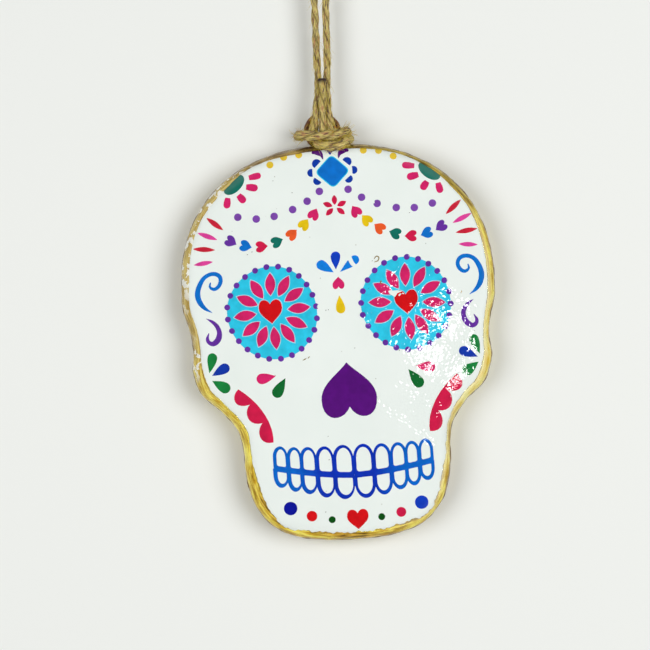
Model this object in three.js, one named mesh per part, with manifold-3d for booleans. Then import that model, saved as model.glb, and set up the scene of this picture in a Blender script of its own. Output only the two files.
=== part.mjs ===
import * as THREE from 'three';
import { mergeVertices } from 'three/addons/utils/BufferGeometryUtils.js';
import Module from 'manifold-3d';

// A hanging skull of pressed tin: two puffed halves brazed edge to edge, a printed and lacquered face,
// a wire ring on the crown and a loop of jute twine. Millimetres, +Z up, the face looks along -Y.
// The origin is the inside top of the twine loop, where whatever holds the ornament passes through.

// Skull outline, measured from its widest line
const craniumHalfWidth = 47.65;
const craniumHeight = 43.7;
const craniumRoundness = 2.25;
const templeHalfWidth = 44.8;
const templeDrop = 16.5;
const cheekHalfWidth = 45.4;
const cheekDrop = 22.6;
const cheekFootHalfWidth = 36.3;
const cheekFootDrop = 35.9;
const jawHalfWidth = 31.1;
const jawTopDrop = 48;
const jawDrop = 56;
const chinCornerHalfWidth = 27.4;
const chinCornerDrop = 67;
const chinHalfWidth = 14;
const chinEdgeDrop = 75;
const chinDrop = 76.3;
const outlineSteps = 72;

// Pressed tin halves
const sheetThickness = 0.5;
const shoulderWidth = 3.8;
const domeCrown = 6;
const domeEdge = 4;
const fitGap = 0.3;

// Braze that closes the seam all round
const seamDepth = 0.6;
const seamWidth = 1.6;

// Printed face
const goldBorder = 2.9;
const filmThickness = 0.3;
const inkGap = 0.1;
const inkThickness = 0.2;
const printRise = 1.9;
const printShift = 0.75;
const printTilt = THREE.MathUtils.degToRad(0.97);
const printBow = 0.9;
const printBowMiddle = -4;
const printBowReach = 14;

// Motifs of the print
const eyeAcross = 20.3;
const eyeUp = -7.9;
const eyeRadius = 13.6;
const eyeBeads = 24;
const beadRadius = 0.95;
const eyePetals = 12;
const petalStart = 2.6;
const petalReach = 11.2;
const petalWidth = 3.1;
const petalTurn = 0.2;
const eyeHeart = 7.2;
const noseWidth = 16.8;
const noseHeight = 16.8;
const noseUp = -32.8;
const browUp = 33.4;
const browWidth = 9.4;
const browHeight = 9.2;
const chinHeart = 6.2;
const chinHeartUp = -72;
const scallopInset = 3.5;
const scallopTop = -30.4;
const scallopLobes = [
  [[3, -4.6], [-2.9, -4.9]],
  [[-0.6, -10.4], [-6.3, -10.7]],
  [[-4, -15.8], [-9.3, -16.7]],
];
const scallopBack = [[-9.4, -11.6], [-6.2, -5]];
const toothColumns = [[2.9, 2.9], [8.5, 2.7], [13.5, 2.4], [17.75, 2.15], [22, 2.15]];
const toothLine = 1.1;
const teethShift = 0.2;
const teethTop = -49.2;
const teethMiddle = -58.4;
const teethBottom = -66;
const teethReach = 24;
const bandRise = 3;
const jawRise = 5.6;

// Wire ring on the crown
const ringWire = 1.6;
const ringMeanRadius = 4.8;
const ringOffset = -2.2;
const ringStandoff = 4.1;
const brazeHeight = 0.6;
const brazeLength = 8.4;
const brazeWidth = 1.8;

// Jute twine
const twineDiameter = 2;
const ringDrop = 54;
const twistHeight = -19;
const swingHeight = -33;
const twineStep = 1.25;
const twineSides = 8;

// Places that follow from the sizes above
const rimTop = -(ringDrop + ringStandoff);
const widestHeight = rimTop - craniumHeight;
const shellInset = seamDepth + fitGap;
const printHeight = widestHeight + printRise;
const faceMiddle = widestHeight + (craniumHeight - chinDrop) / 2;
const faceHalfHeight = (craniumHeight + chinDrop) / 2;
const ringCentre = new THREE.Vector3(ringOffset, 0, -ringDrop);
const brazeTop = rimTop + fitGap + brazeHeight;
const twineRadius = twineDiameter / 2;

const wasm = await Module();
wasm.setup();

const ornament = new THREE.Group();

// Finishes
function finish(colour, roughness, metalness) {
  return new THREE.MeshStandardMaterial({ color: colour, roughness, metalness });
}

const giltTin = finish('#d2a23c', 0.3, 1);
const braze = finish('#b98730', 0.4, 1);
const copperWire = finish('#8a4f22', 0.45, 1);
const jute = finish('#b8a24a', 0.95, 0);
const whiteLacquer = finish('#eef3ee', 0.15, 0);
const skyBlue = '#2cc4e6';
const magenta = '#d42468';
const red = '#d8101f';
const crimson = '#b81436';
const violet = '#56208a';
const royalBlue = '#0f58cc';

function addPiece(name, geometry, material) {
  const piece = new THREE.Mesh(geometry, material);
  piece.name = name;
  ornament.add(piece);
  return piece;
}

// Solid modelling helpers
function toSolid(geometry) {
  const bare = geometry.clone();
  bare.deleteAttribute('normal');
  bare.deleteAttribute('uv');
  const merged = mergeVertices(bare, 1e-4);
  const vertProperties = new Float32Array(merged.attributes.position.array);
  const triVerts = new Uint32Array(merged.index.array);
  return new wasm.Manifold(new wasm.Mesh({ numProp: 3, vertProperties, triVerts }));
}

function toGeometry(solid) {
  const mesh = solid.getMesh();
  const geometry = new THREE.BufferGeometry();
  geometry.setAttribute('position', new THREE.BufferAttribute(mesh.vertProperties, 3));
  geometry.setIndex(new THREE.BufferAttribute(mesh.triVerts, 1));
  geometry.computeVertexNormals();
  return geometry;
}

function unite(solids) {
  return solids.reduce((whole, solid) => whole.add(solid));
}

// The skull's edge: a squarish dome over the widest line, then temple, cheek, jaw and chin
function skullEdgePoints() {
  const quarter = Math.PI / 2;
  const craniumSteps = 9;
  const right = [];
  for (let i = 1; i <= craniumSteps; i += 1) {
    const angle = quarter - (quarter * i) / craniumSteps;
    const across = craniumHalfWidth * Math.cos(angle) ** (2 / craniumRoundness);
    const up = craniumHeight * Math.sin(angle) ** (2 / craniumRoundness);
    right.push([across, up]);
  }
  right.push(
    [templeHalfWidth, -templeDrop],
    [cheekHalfWidth, -cheekDrop],
    [(cheekHalfWidth + cheekFootHalfWidth) / 2 + 1.7, -(cheekDrop + cheekFootDrop) / 2 - 1],
    [cheekFootHalfWidth, -cheekFootDrop],
    [jawHalfWidth, -jawTopDrop],
    [jawHalfWidth, -jawDrop],
    [chinCornerHalfWidth, -chinCornerDrop],
    [chinHalfWidth, -chinEdgeDrop],
  );
  const left = right.map(([across, up]) => [-across, up]).reverse();
  return [[0, craniumHeight], ...right, [0, -chinDrop], ...left];
}

const skullEdge = new THREE.CatmullRomCurve3(
  skullEdgePoints().map(([across, up]) => new THREE.Vector3(across, 0, widestHeight + up)),
  true,
  'centripetal',
);

// Points of the edge drawn in by a distance; the edge runs clockwise seen from the front
function insetEdge(inset, steps = outlineSteps) {
  return Array.from({ length: steps }, (_, i) => {
    const at = skullEdge.getPointAt(i / steps);
    const along = skullEdge.getTangentAt(i / steps);
    return new THREE.Vector3(at.x + along.z * inset, 0, at.z - along.x * inset);
  });
}

function domeRise(x, z) {
  const across = x / craniumHalfWidth;
  const up = (z - faceMiddle) / faceHalfHeight;
  return domeCrown - (domeCrown - domeEdge) * (across * across + up * up);
}

// A closed body from rings of points; a middle point closes each end of the stack
function ringBody(rings, firstMiddle, lastMiddle) {
  const count = rings[0].length;
  const points = [firstMiddle, ...rings.flat(), lastMiddle];
  const last = points.length - 1;
  const index = [];
  for (let i = 0; i < count; i += 1) {
    const next = (i + 1) % count;
    index.push(0, 1 + next, 1 + i);
    for (let ring = 0; ring < rings.length - 1; ring += 1) {
      const a = 1 + ring * count;
      const b = a + count;
      index.push(a + i, a + next, b + i, a + next, b + next, b + i);
    }
    const end = 1 + (rings.length - 1) * count;
    index.push(last, end + i, end + next);
  }
  const geometry = new THREE.BufferGeometry();
  geometry.setAttribute('position', new THREE.Float32BufferAttribute(points.flatMap((p) => p.toArray()), 3));
  geometry.setIndex(index);
  geometry.computeVertexNormals();
  return geometry;
}

// The shoulder rolls down from the dome to the seam along a quarter of an ellipse
function shoulderRoll(fromEdge) {
  const share = Math.min(1, Math.max(0, fromEdge / shoulderWidth));
  return Math.sqrt(1 - (1 - share) ** 2);
}

function rolledRise(x, z, fromEdge, depth) {
  return fitGap / 2 + (domeRise(x, z) - depth - fitGap / 2) * shoulderRoll(fromEdge);
}

// One skin of a pressed half: rings from the middle of the dome out to the edge at the seam
function pressedSkin(depth, side, domeShares, shoulderShares) {
  const middle = new THREE.Vector3(0, 0, faceMiddle);
  const lift = (point, fromEdge) =>
    new THREE.Vector3(point.x, side * rolledRise(point.x, point.z, fromEdge, depth), point.z);
  const shoulderFoot = insetEdge(shellInset + depth + shoulderWidth);
  const dome = domeShares.map((share) =>
    shoulderFoot.map((point) => lift(middle.clone().lerp(point, share), shoulderWidth)));
  const shoulder = shoulderShares.map((share) => {
    const fromEdge = shoulderWidth * share;
    return insetEdge(shellInset + depth + fromEdge).map((point) => lift(point, fromEdge));
  });
  return { crown: lift(middle, shoulderWidth), rings: [...dome, ...shoulder] };
}

function pressedHalf(side) {
  const outer = pressedSkin(0, side, [0.4, 0.75], [1, 0.55, 0.24, 0.06, 0]);
  const inner = pressedSkin(sheetThickness, side, [0.5], [1, 0.3, 0]);
  const rings = [...outer.rings, ...inner.rings.reverse()];
  const geometry = ringBody(rings, outer.crown, inner.crown);
  if (side > 0) {
    const index = geometry.getIndex();
    for (let i = 0; i < index.count; i += 3) {
      const held = index.getX(i);
      index.setX(i, index.getX(i + 1));
      index.setX(i + 1, held);
    }
    geometry.computeVertexNormals();
  }
  return geometry;
}

// A closed band swept round the edge; its section is given as [inset, depth] corners
function edgeBand(section) {
  const rings = section.map(([inset, y]) => insetEdge(inset).map((point) => point.setY(y)));
  const count = outlineSteps;
  const index = [];
  rings.forEach((_, ring) => {
    const a = ring * count;
    const b = ((ring + 1) % rings.length) * count;
    for (let i = 0; i < count; i += 1) {
      const next = (i + 1) % count;
      index.push(a + i, a + next, b + i, a + next, b + next, b + i);
    }
  });
  const geometry = new THREE.BufferGeometry();
  const numbers = rings.flat().flatMap((point) => point.toArray());
  geometry.setAttribute('position', new THREE.Float32BufferAttribute(numbers, 3));
  geometry.setIndex(index);
  geometry.computeVertexNormals();
  return geometry;
}

function seamRing() {
  const half = seamWidth / 2;
  const rounded = seamDepth / 2;
  return edgeBand([
    [0, half / 2], [rounded, half], [seamDepth, half],
    [seamDepth, -half], [rounded, -half], [0, -half / 2],
  ]);
}

// A curved sheet in front of the dome, from which the film and the inks are cut
const sheetGrid = 10;

function domeSheet(offset, thickness) {
  const width = 2 * craniumHalfWidth + sheetGrid;
  const height = 2 * faceHalfHeight + sheetGrid;
  const across = Math.round(width / sheetGrid);
  const up = Math.round(height / sheetGrid);
  const geometry = new THREE.BoxGeometry(width, 1, height, across, 1, up);
  geometry.translate(0, 0, faceMiddle);
  const position = geometry.attributes.position;
  for (let i = 0; i < position.count; i += 1) {
    const rise = domeRise(position.getX(i), position.getZ(i)) + offset;
    position.setY(i, -rise - (position.getY(i) > 0 ? 0 : thickness));
  }
  return toSolid(geometry);
}

function prism(points, holes = []) {
  const shape = new THREE.Shape(points);
  shape.holes = holes.map((hole) => new THREE.Path(hole));
  const geometry = new THREE.ExtrudeGeometry(shape, { depth: 3 * domeCrown, bevelEnabled: false });
  return toSolid(geometry.rotateX(Math.PI / 2));
}

// The print sits a little turned and shifted on the tin, and bows to one side across the eyes
function printPoint(across, up) {
  const bow = printBow * Math.exp(-(((up - printBowMiddle) / printBowReach) ** 2));
  const u = across - bow;
  const x = printShift + u * Math.cos(printTilt) - up * Math.sin(printTilt);
  const z = u * Math.sin(printTilt) + up * Math.cos(printTilt);
  return new THREE.Vector2(x, printHeight + z);
}

function printed(outline) {
  return prism(outline.map(([across, up]) => printPoint(across, up)));
}

// Motif outlines, in millimetres across and up from the middle of the print
function moved(outline, across, up, angle = 0) {
  const cos = Math.cos(angle);
  const sin = Math.sin(angle);
  return outline.map(([a, b]) => [across + a * cos - b * sin, up + a * sin + b * cos]);
}

function disc(across, up, radius, sides) {
  return Array.from({ length: sides }, (_, i) => {
    const angle = (2 * Math.PI * i) / sides;
    return [across + radius * Math.cos(angle), up + radius * Math.sin(angle)];
  });
}

function petal(length, width) {
  const steps = 6;
  const half = Array.from({ length: steps }, (_, i) => {
    const along = (i / steps) * Math.PI;
    return [(-length / 2) * Math.cos(along), (-width / 2) * Math.sin(along)];
  });
  return [...half, ...half.map(([a, b]) => [-a, -b])];
}

function heart(width, height) {
  const shape = new THREE.Shape();
  const lobe = 0.57 * height;
  const side = 0.5 * width;
  shape.moveTo(0, 0.3 * height);
  shape.bezierCurveTo(0.12 * width, lobe, side, lobe, side, 0.16 * height);
  shape.bezierCurveTo(side, -0.14 * height, 0.16 * width, -0.3 * height, 0, -0.5 * height);
  shape.bezierCurveTo(-0.16 * width, -0.3 * height, -side, -0.14 * height, -side, 0.16 * height);
  shape.bezierCurveTo(-side, lobe, -0.12 * width, lobe, 0, 0.3 * height);
  return shape.getPoints(7).slice(0, -1).map((point) => [point.x, point.y]);
}

// Levels of ink over the white film
function inkSheet(level) {
  return domeSheet(fitGap + filmThickness + inkGap + level * (inkThickness + inkGap), inkThickness);
}

const groundInk = inkSheet(0);
const middleInk = inkSheet(1);
const topInk = inkSheet(2);

function addPrint(name, solid, sheet, colour) {
  addPiece(name, toGeometry(solid.intersect(sheet)), finish(colour, 0.2, 0));
}

// Least distance of a point of the face from the shells' edge
const edgeSamples = insetEdge(shellInset, 6 * outlineSteps);

function distanceFromEdge(x, z) {
  return Math.min(...edgeSamples.map((point) => Math.hypot(point.x - x, point.z - z)));
}

// The white film follows the tin, over the shoulder where the print runs out that far
function whiteFace() {
  const rings = [0, 0.9, 2.4].map((further) =>
    insetEdge(goldBorder + further).map((point) => printPoint(point.x, point.z - printHeight)));
  const middle = new THREE.Vector2(0, faceMiddle);
  [0.8, 0.45].forEach((share) => {
    rings.push(rings[2].map((point) => middle.clone().lerp(point, share)));
  });
  const lift = (point, offset) => {
    const fromEdge = distanceFromEdge(point.x, point.y);
    const rise = rolledRise(point.x, point.y, fromEdge, 0) + offset;
    return new THREE.Vector3(point.x, -rise, point.y);
  };
  const layer = (offset) => rings.map((ring) => ring.map((point) => lift(point, offset)));
  const front = layer(fitGap + filmThickness).reverse();
  const back = layer(fitGap);
  return ringBody([...front, ...back], lift(middle, fitGap + filmThickness), lift(middle, fitGap));
}

// Eye: a disc with a beaded edge, a rosette of petals that meet under a heart
function eyeDisc(across) {
  const beads = Array.from({ length: eyeBeads }, (_, i) => {
    const angle = (2 * Math.PI * (i + 0.5)) / eyeBeads;
    const at = across + eyeRadius * Math.cos(angle);
    return printed(disc(at, eyeUp + eyeRadius * Math.sin(angle), beadRadius, 8));
  });
  return unite([printed(disc(across, eyeUp, eyeRadius, 2 * eyeBeads)), ...beads]);
}

function eyeRosette(across) {
  const length = petalReach - petalStart;
  const middle = (petalReach + petalStart) / 2;
  return unite(Array.from({ length: eyePetals }, (_, i) => {
    const angle = (2 * Math.PI * i) / eyePetals + petalTurn;
    const at = across + middle * Math.cos(angle);
    return printed(moved(petal(length, petalWidth), at, eyeUp + middle * Math.sin(angle), angle));
  }));
}

// Teeth: two rows of round-ended cells on each side of an arched band
function tooth(across, halfWidth, low, high) {
  const corner = Math.min(halfWidth, (high - low) / 2) * 0.8;
  const corners = [[1, 1], [-1, 1], [-1, -1], [1, -1]];
  const points = corners.flatMap(([sideways, upward], quarter) =>
    [0, 1, 2].map((step) => {
      const angle = ((quarter + step / 2) * Math.PI) / 2;
      return [
        across + sideways * (halfWidth - corner) + corner * Math.cos(angle),
        (high + low) / 2 + upward * ((high - low) / 2 - corner) + corner * Math.sin(angle),
      ];
    }));
  return printed(points);
}

function teeth() {
  const tablets = [];
  const cells = [];
  const line = toothLine;
  toothColumns.forEach(([centre, half]) => {
    const arch = (centre / teethReach) ** 2;
    const band = teethMiddle + bandRise * arch;
    const bottom = teethBottom + jawRise * arch;
    [teethShift - centre, teethShift + centre].forEach((at) => {
      tablets.push(tooth(at, half + line / 2, band - line, teethTop));
      tablets.push(tooth(at, half + line / 2, bottom, band + line));
      cells.push(tooth(at, half - line / 2, band + line / 2, teethTop - line));
      cells.push(tooth(at, half - line / 2, bottom + line, band - line / 2));
    });
  });
  return unite(tablets).subtract(unite(cells));
}

// A wing of three lobes down the cheek; its corners are measured from its upper tip
function cheekScallop(side) {
  const tip = new THREE.Vector2(cheekFootHalfWidth - scallopInset, scallopTop);
  const fromTip = ([across, up]) => [tip.x + across, tip.y + up];
  const outline = new THREE.Shape();
  outline.moveTo(tip.x, tip.y);
  scallopLobes.forEach(([bulge, notch]) => outline.quadraticCurveTo(...fromTip(bulge), ...fromTip(notch)));
  outline.bezierCurveTo(...fromTip(scallopBack[0]), ...fromTip(scallopBack[1]), tip.x, tip.y);
  const points = outline.getPoints(5).slice(0, -1).map((point) => [side * point.x, point.y]);
  return printed(side > 0 ? points : points.reverse());
}

function printedFace() {
  addPiece('white_face', whiteFace(), whiteLacquer);
  addPrint('nose_heart', printed(moved(heart(noseWidth, noseHeight), 0, noseUp, Math.PI)), groundInk, violet);
  addPrint('teeth_outline', teeth(), groundInk, royalBlue);
  addPrint('brow_diamond', printed(moved(petal(browWidth, browHeight), 0, browUp)), groundInk, royalBlue);
  addPrint('chin_heart', printed(moved(heart(chinHeart, chinHeart), 0, chinHeartUp)), groundInk, red);
  [[-1, 'left'], [1, 'right']].forEach(([side, word]) => {
    const across = side * eyeAcross;
    addPrint(`eye_disc_${word}`, eyeDisc(across), groundInk, skyBlue);
    addPrint(`eye_petals_${word}`, eyeRosette(across), middleInk, magenta);
    addPrint(`eye_heart_${word}`, printed(moved(heart(eyeHeart, eyeHeart), across, eyeUp)), topInk, red);
    addPrint(`cheek_scallop_${word}`, cheekScallop(side), groundInk, crimson);
  });
}

// Ring: its foot is cut level over the puddle of braze that holds it to the rim
function wireRing() {
  const ring = new THREE.TorusGeometry(ringMeanRadius, ringWire / 2, 8, 32);
  ring.rotateX(Math.PI / 2);
  ring.translate(ringCentre.x, ringCentre.y, ringCentre.z);
  const cutHeight = 2 * ringMeanRadius;
  const below = new THREE.BoxGeometry(4 * ringMeanRadius, 4 * ringWire, cutHeight);
  below.translate(ringCentre.x, 0, brazeTop + fitGap - cutHeight / 2);
  return toGeometry(toSolid(ring).subtract(toSolid(below)));
}

function ringBraze() {
  const half = brazeLength / 2;
  const puddle = new THREE.Shape();
  puddle.moveTo(-half, 0);
  puddle.quadraticCurveTo(-half, brazeHeight, -0.8 * half, brazeHeight);
  puddle.lineTo(0.8 * half, brazeHeight);
  puddle.quadraticCurveTo(half, brazeHeight, half, 0);
  const geometry = new THREE.ExtrudeGeometry(puddle, {
    depth: brazeWidth, bevelEnabled: false, curveSegments: 4,
  });
  geometry.rotateX(Math.PI / 2);
  geometry.translate(ringCentre.x, brazeWidth / 2, rimTop + fitGap);
  return geometry;
}

// Twine: the route of each piece, chosen by hand
const strandGap = fitGap / 2;
const loopRoute = [
  [-2.45, 0, twistHeight + strandGap], [-2.4, 0, -16.5], [-2.45, 0, -14], [-2.95, 0, -10.8],
  [-3.7, 0, -7.4], [-4.05, 0, -4.2], [-3.6, 0, -1.4], [-2.1, 0, 0.4], [0, 0, twineRadius],
  [2.1, 0, 0.4], [3.6, 0, -1.4], [4.05, 0, -4.2], [3.4, 0, -7.4], [2.1, 0, -10.8],
  [1.15, 0, -14], [0.9, 0, -16.5], [0.85, 0, twistHeight + strandGap],
];
const legFoot = swingHeight + twineRadius + fitGap;
const leftLegRoute = [[-2.46, 0, twistHeight - strandGap], [-2.6, 0, legFoot]];
const rightLegRoute = [[0.85, 0, twistHeight - strandGap], [0.48, 0, legFoot]];
const leftEndRoute = [
  [-2.6, 0, swingHeight], [-2.55, 0, -35.5], [-2.6, -0.2, -38.5], [-2.85, -0.8, -42],
  [-3.2, -1.5, -45], [-3.7, -2.05, -47.6], [-4.15, -2.15, -50], [-4.5, -1.9, -52],
  [-4.9, -1.1, -53.5], [-4.95, 0, -54.3], [-5.2, 1.3, -54.6], [-6.4, 2.4, -54.8],
  [-8.2, 1.9, -54.9], [-9.4, 0.4, -54.9], [-9.6, -1.4, -54.9], [-8.6, -3.2, -55],
  [-6.6, -4.2, -55.2], [-4.5, -4.6, -55.4], [-2.2, -4.8, -55.5], [0.1, -4.9, -55.4],
  [2.2, -4.8, -55.1], [4.1, -3.9, -54.8], [5.2, -1.7, -54.6], [5.1, 0.4, -54.5],
  [3.9, 1.8, -54.6], [2.2, 2.3, -54.9], [0.8, 2.1, -55.2], [-0.4, 1.2, -55.4],
  [-0.95, 0, -55.4], [-1.4, -1.3, -54.8], [-1.75, -2.2, -53.4], [-1.85, -2.75, -51.5],
  [-1.9, -3.2, -49], [-1.75, -3.5, -46.5], [-1.5, -3.3, -43.5], [-1.4, -2.7, -40], [-1.35, -2.4, -38.2],
];
const rightEndRoute = [
  [0.48, 0, swingHeight], [0.3, 0, -35.5], [0.05, -0.2, -38.5], [-0.05, -0.8, -42],
  [-0.05, -1.5, -45], [0, -2, -47.6], [0.2, -2.15, -50], [0.6, -2.3, -52.2],
  [1.2, -2.5, -54.2], [2.2, -2.8, -56], [3.6, -2.9, -57.1], [5, -2.4, -57.2],
  [5.9, -1, -57], [5.5, 1.2, -57], [3.7, 3, -57.2], [1.2, 3.6, -57.3],
  [-1.2, 3.1, -56.9], [-2.7, 1.7, -56.2], [-3.2, 0, -56.05], [-3.65, -1.7, -56.4],
  [-3.6, -3.5, -57.8], [-2.6, -4.8, -58.4], [-0.6, -5.4, -58.7], [1.6, -5.7, -58.7],
  [3.7, -5.7, -58.3], [5.4, -5, -57.6],
];

function twineCurve(route) {
  return new THREE.CatmullRomCurve3(route.map((point) => new THREE.Vector3(...point)), false, 'centripetal');
}

function twineTube(route) {
  const curve = twineCurve(route);
  const section = new THREE.Shape(disc(0, 0, twineRadius, twineSides).map(([a, b]) => new THREE.Vector2(a, b)));
  const steps = Math.max(2, Math.round(curve.getLength() / twineStep));
  return new THREE.ExtrudeGeometry(section, { steps, bevelEnabled: false, extrudePath: curve });
}

// The upper end of a hitched piece is rounded, because it turns against the leg above it
function hitchedTube(route) {
  const ball = new THREE.SphereGeometry(twineRadius, twineSides, 6);
  ball.rotateX(Math.PI / 2);
  ball.translate(...route[0]);
  return toGeometry(toSolid(twineTube(route)).add(toSolid(ball)));
}

// Least gap of a piece to itself, measured between points well apart along it
function leastGapToItself(route) {
  const curve = twineCurve(route);
  const samples = 400;
  const points = curve.getSpacedPoints(samples);
  const apart = Math.ceil((2.5 * twineDiameter * samples) / curve.getLength());
  let least = Infinity;
  for (let i = 0; i <= samples; i += 1) {
    for (let j = i + apart; j <= samples; j += 1) {
      least = Math.min(least, points[i].distanceTo(points[j]));
    }
  }
  return least - twineDiameter;
}

function leastGapBetween(route, otherRoute) {
  const points = twineCurve(route).getSpacedPoints(300);
  const others = twineCurve(otherRoute).getSpacedPoints(300);
  const distances = points.map((point) => Math.min(...others.map((other) => point.distanceTo(other))));
  return Math.min(...distances) - twineDiameter;
}

console.log('least gap of the left end to itself, mm:', leastGapToItself(leftEndRoute).toFixed(2));
console.log('least gap of the right end to itself, mm:', leastGapToItself(rightEndRoute).toFixed(2));
console.log('least gap between the two ends, mm:', leastGapBetween(leftEndRoute, rightEndRoute).toFixed(2));

addPiece('front_shell', pressedHalf(-1), giltTin);
addPiece('back_shell', pressedHalf(1), giltTin);
addPiece('seam_braze', seamRing(), braze);
printedFace();
addPiece('hanging_ring', wireRing(), copperWire);
addPiece('ring_braze', ringBraze(), braze);
addPiece('twine_loop', twineTube(loopRoute), jute);
addPiece('twine_leg_left', twineTube(leftLegRoute), jute);
addPiece('twine_leg_right', twineTube(rightLegRoute), jute);
addPiece('twine_end_left', hitchedTube(leftEndRoute), jute);
addPiece('twine_end_right', hitchedTube(rightEndRoute), jute);

export default ornament;
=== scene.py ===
"""Looks of a hanging skull of pressed tin with a printed and lacquered face, on a jute twine.

Lengths are in millimetres until a mesh is made. Across is +X, up is +Z, and the face looks along -Y.
"""

import math
import random

import bmesh
import bpy
import numpy as np
from mathutils import Matrix, Vector
from mathutils.geometry import delaunay_2d_cdt


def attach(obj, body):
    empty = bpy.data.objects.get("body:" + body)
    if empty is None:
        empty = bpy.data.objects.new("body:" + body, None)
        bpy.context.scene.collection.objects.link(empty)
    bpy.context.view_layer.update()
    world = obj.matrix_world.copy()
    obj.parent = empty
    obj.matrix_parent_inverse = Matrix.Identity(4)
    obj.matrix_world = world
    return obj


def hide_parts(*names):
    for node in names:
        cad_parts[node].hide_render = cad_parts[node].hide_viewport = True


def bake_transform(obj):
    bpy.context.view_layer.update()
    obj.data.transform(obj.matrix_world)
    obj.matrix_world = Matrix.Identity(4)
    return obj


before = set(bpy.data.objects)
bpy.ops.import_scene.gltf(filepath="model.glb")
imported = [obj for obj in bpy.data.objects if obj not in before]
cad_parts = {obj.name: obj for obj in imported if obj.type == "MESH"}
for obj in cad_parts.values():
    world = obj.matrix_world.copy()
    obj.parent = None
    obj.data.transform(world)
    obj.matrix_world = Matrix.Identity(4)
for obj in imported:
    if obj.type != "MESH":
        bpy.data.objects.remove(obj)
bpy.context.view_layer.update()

MM = 0.001

# Camera: the picture is 650 px wide and 3.303 px of it show one millimetre of the face
PIXELS_PER_MM = 3.303
PICTURE_PIXELS = 650
PICTURE_MIDDLE = (-4.63, -112.7)
CAMERA_DISTANCE = 1500
MEASURED_DEPTH = 3
CAMERA_ROLL = math.radians(3.2)
SENSOR_WIDTH = 36

# Card behind the ornament
WALL_REACH = 900
WALL_BEHIND = 7.5

# The point that the lamps look at, in metres as their places are
LIT_MIDDLE = (0, 0, -0.11)

# Skull outline, measured from its widest line; it follows the part, a little fuller at cheeks and chin
CRANIUM_HALF_WIDTH = 47.65
CRANIUM_HEIGHT = 43.7
CRANIUM_ROUNDNESS = 2.29
CRANIUM_STEPS = 9
CHEEK_AND_JAW = [
    (47.3, -5.2), (45.8, -10.4), (45, -16.4), (45.5, -22.8), (43, -30.3), (37.1, -35.9), (32.6, -42.3),
    (31.5, -48), (31.3, -53.5), (30.4, -59.6), (28, -65.9), (22.4, -72), (13.5, -75.3),
]
CHIN_DROP = 76.3
WIDEST_HEIGHT = -101.8
FACE_MIDDLE = WIDEST_HEIGHT + (CRANIUM_HEIGHT - CHIN_DROP) / 2
FACE_HALF_HEIGHT = (CRANIUM_HEIGHT + CHIN_DROP) / 2

# Pressed tin
SHELL_INSET = 0.9
SHEET_THICKNESS = 0.5
SHOULDER_WIDTH = 3.8
DOME_CROWN = 6
DOME_EDGE = 4
SEAM_RISE = 0.15

# Bead of braze over the seam
BRAZE_INSET = 0.78
BRAZE_HALF_WIDTH = 0.72
BRAZE_HALF_DEPTH = 0.95

# Layers over the tin
FILM_INSET = 0.95
FILM_UNDERSIDE = 0.35
FILM_TOP = 0.6
INK_LEVEL = 0.03
INK_DEPTH = 0.06
GILT_TOP = 0.76
GILT_DEPTH = 0.06
PRINT_MARGIN = 0.15
NET_PITCH = 1.4
FINE_PITCH = 0.5
SHEET_POINTS = 720
RIM_POINTS = 1440

# Print: a little turned and shifted on the tin, bowed to one side across the eyes
PRINT_HEIGHT = -99.9
PRINT_SHIFT = 0.75
PRINT_TILT = math.radians(0.97)
PRINT_BOW = 0.9
PRINT_BOW_MIDDLE = -4
PRINT_BOW_REACH = 14

# Jute twine, two plies laid together
PLY_RADIUS = 0.87
PLY_OFFSET = 0.26
LAY_LENGTH = 13
HITCH_FULLNESS = 0.35
HITCH_TOP = -51
TWINE_SIDES = 40
TWINE_STEP = 0.3
CUT_HEIGHT = -27
FIBRE_STEPS = 7
FIBRE_ROOT = 0.85


def metres(points):
    return np.asarray(points, float) * MM


# Curves

def smooth_curve(points, closed=False, per_span=30):
    """Points along a centripetal Catmull-Rom curve through the given ones."""
    knots = np.asarray(points, float)
    count = len(knots)
    spans = count if closed else count - 1
    traced = []
    for i in range(spans):
        start, end = knots[i], knots[(i + 1) % count]
        before = knots[i - 1] if closed or i > 0 else 2 * start - end
        after = knots[(i + 2) % count] if closed or i + 2 < count else 2 * end - start
        lengths = [np.linalg.norm(b - a) ** 0.5 for a, b in ((before, start), (start, end), (end, after))]
        first, middle, last = lengths
        leaving = (start - before) / first - (end - before) / (first + middle) + (end - start) / middle
        arriving = (end - start) / middle - (after - start) / (middle + last) + (after - end) / last
        for t in np.arange(per_span) / per_span:
            traced.append(
                (2 * t**3 - 3 * t**2 + 1) * start
                + (t**3 - 2 * t**2 + t) * middle * leaving
                + (3 * t**2 - 2 * t**3) * end
                + (t**3 - t**2) * middle * arriving
            )
    if not closed:
        traced.append(knots[-1])
    return np.array(traced)


def evenly(points, count, closed=False):
    """The same line with its points at equal distances."""
    line = np.vstack([points, points[:1]]) if closed else np.asarray(points)
    along = np.concatenate([[0], np.cumsum(np.linalg.norm(np.diff(line, axis=0), axis=1))])
    places = np.linspace(0, along[-1], count, endpoint=not closed)
    return np.column_stack([np.interp(places, along, column) for column in line.T])


def line_length(points):
    return float(np.linalg.norm(np.diff(points, axis=0), axis=1).sum())


# Skull surface

def skull_edge_points():
    right = []
    for i in range(1, CRANIUM_STEPS + 1):
        angle = math.pi / 2 * (1 - i / CRANIUM_STEPS)
        across = CRANIUM_HALF_WIDTH * math.cos(angle) ** (2 / CRANIUM_ROUNDNESS)
        up = CRANIUM_HEIGHT * max(0, math.sin(angle)) ** (2 / CRANIUM_ROUNDNESS)
        right.append((across, up))
    right += CHEEK_AND_JAW
    left = [(-across, up) for across, up in reversed(right)]
    edge = [(0, CRANIUM_HEIGHT), *right, (0, -CHIN_DROP), *left]
    return [(across, WIDEST_HEIGHT + up) for across, up in edge]


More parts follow.
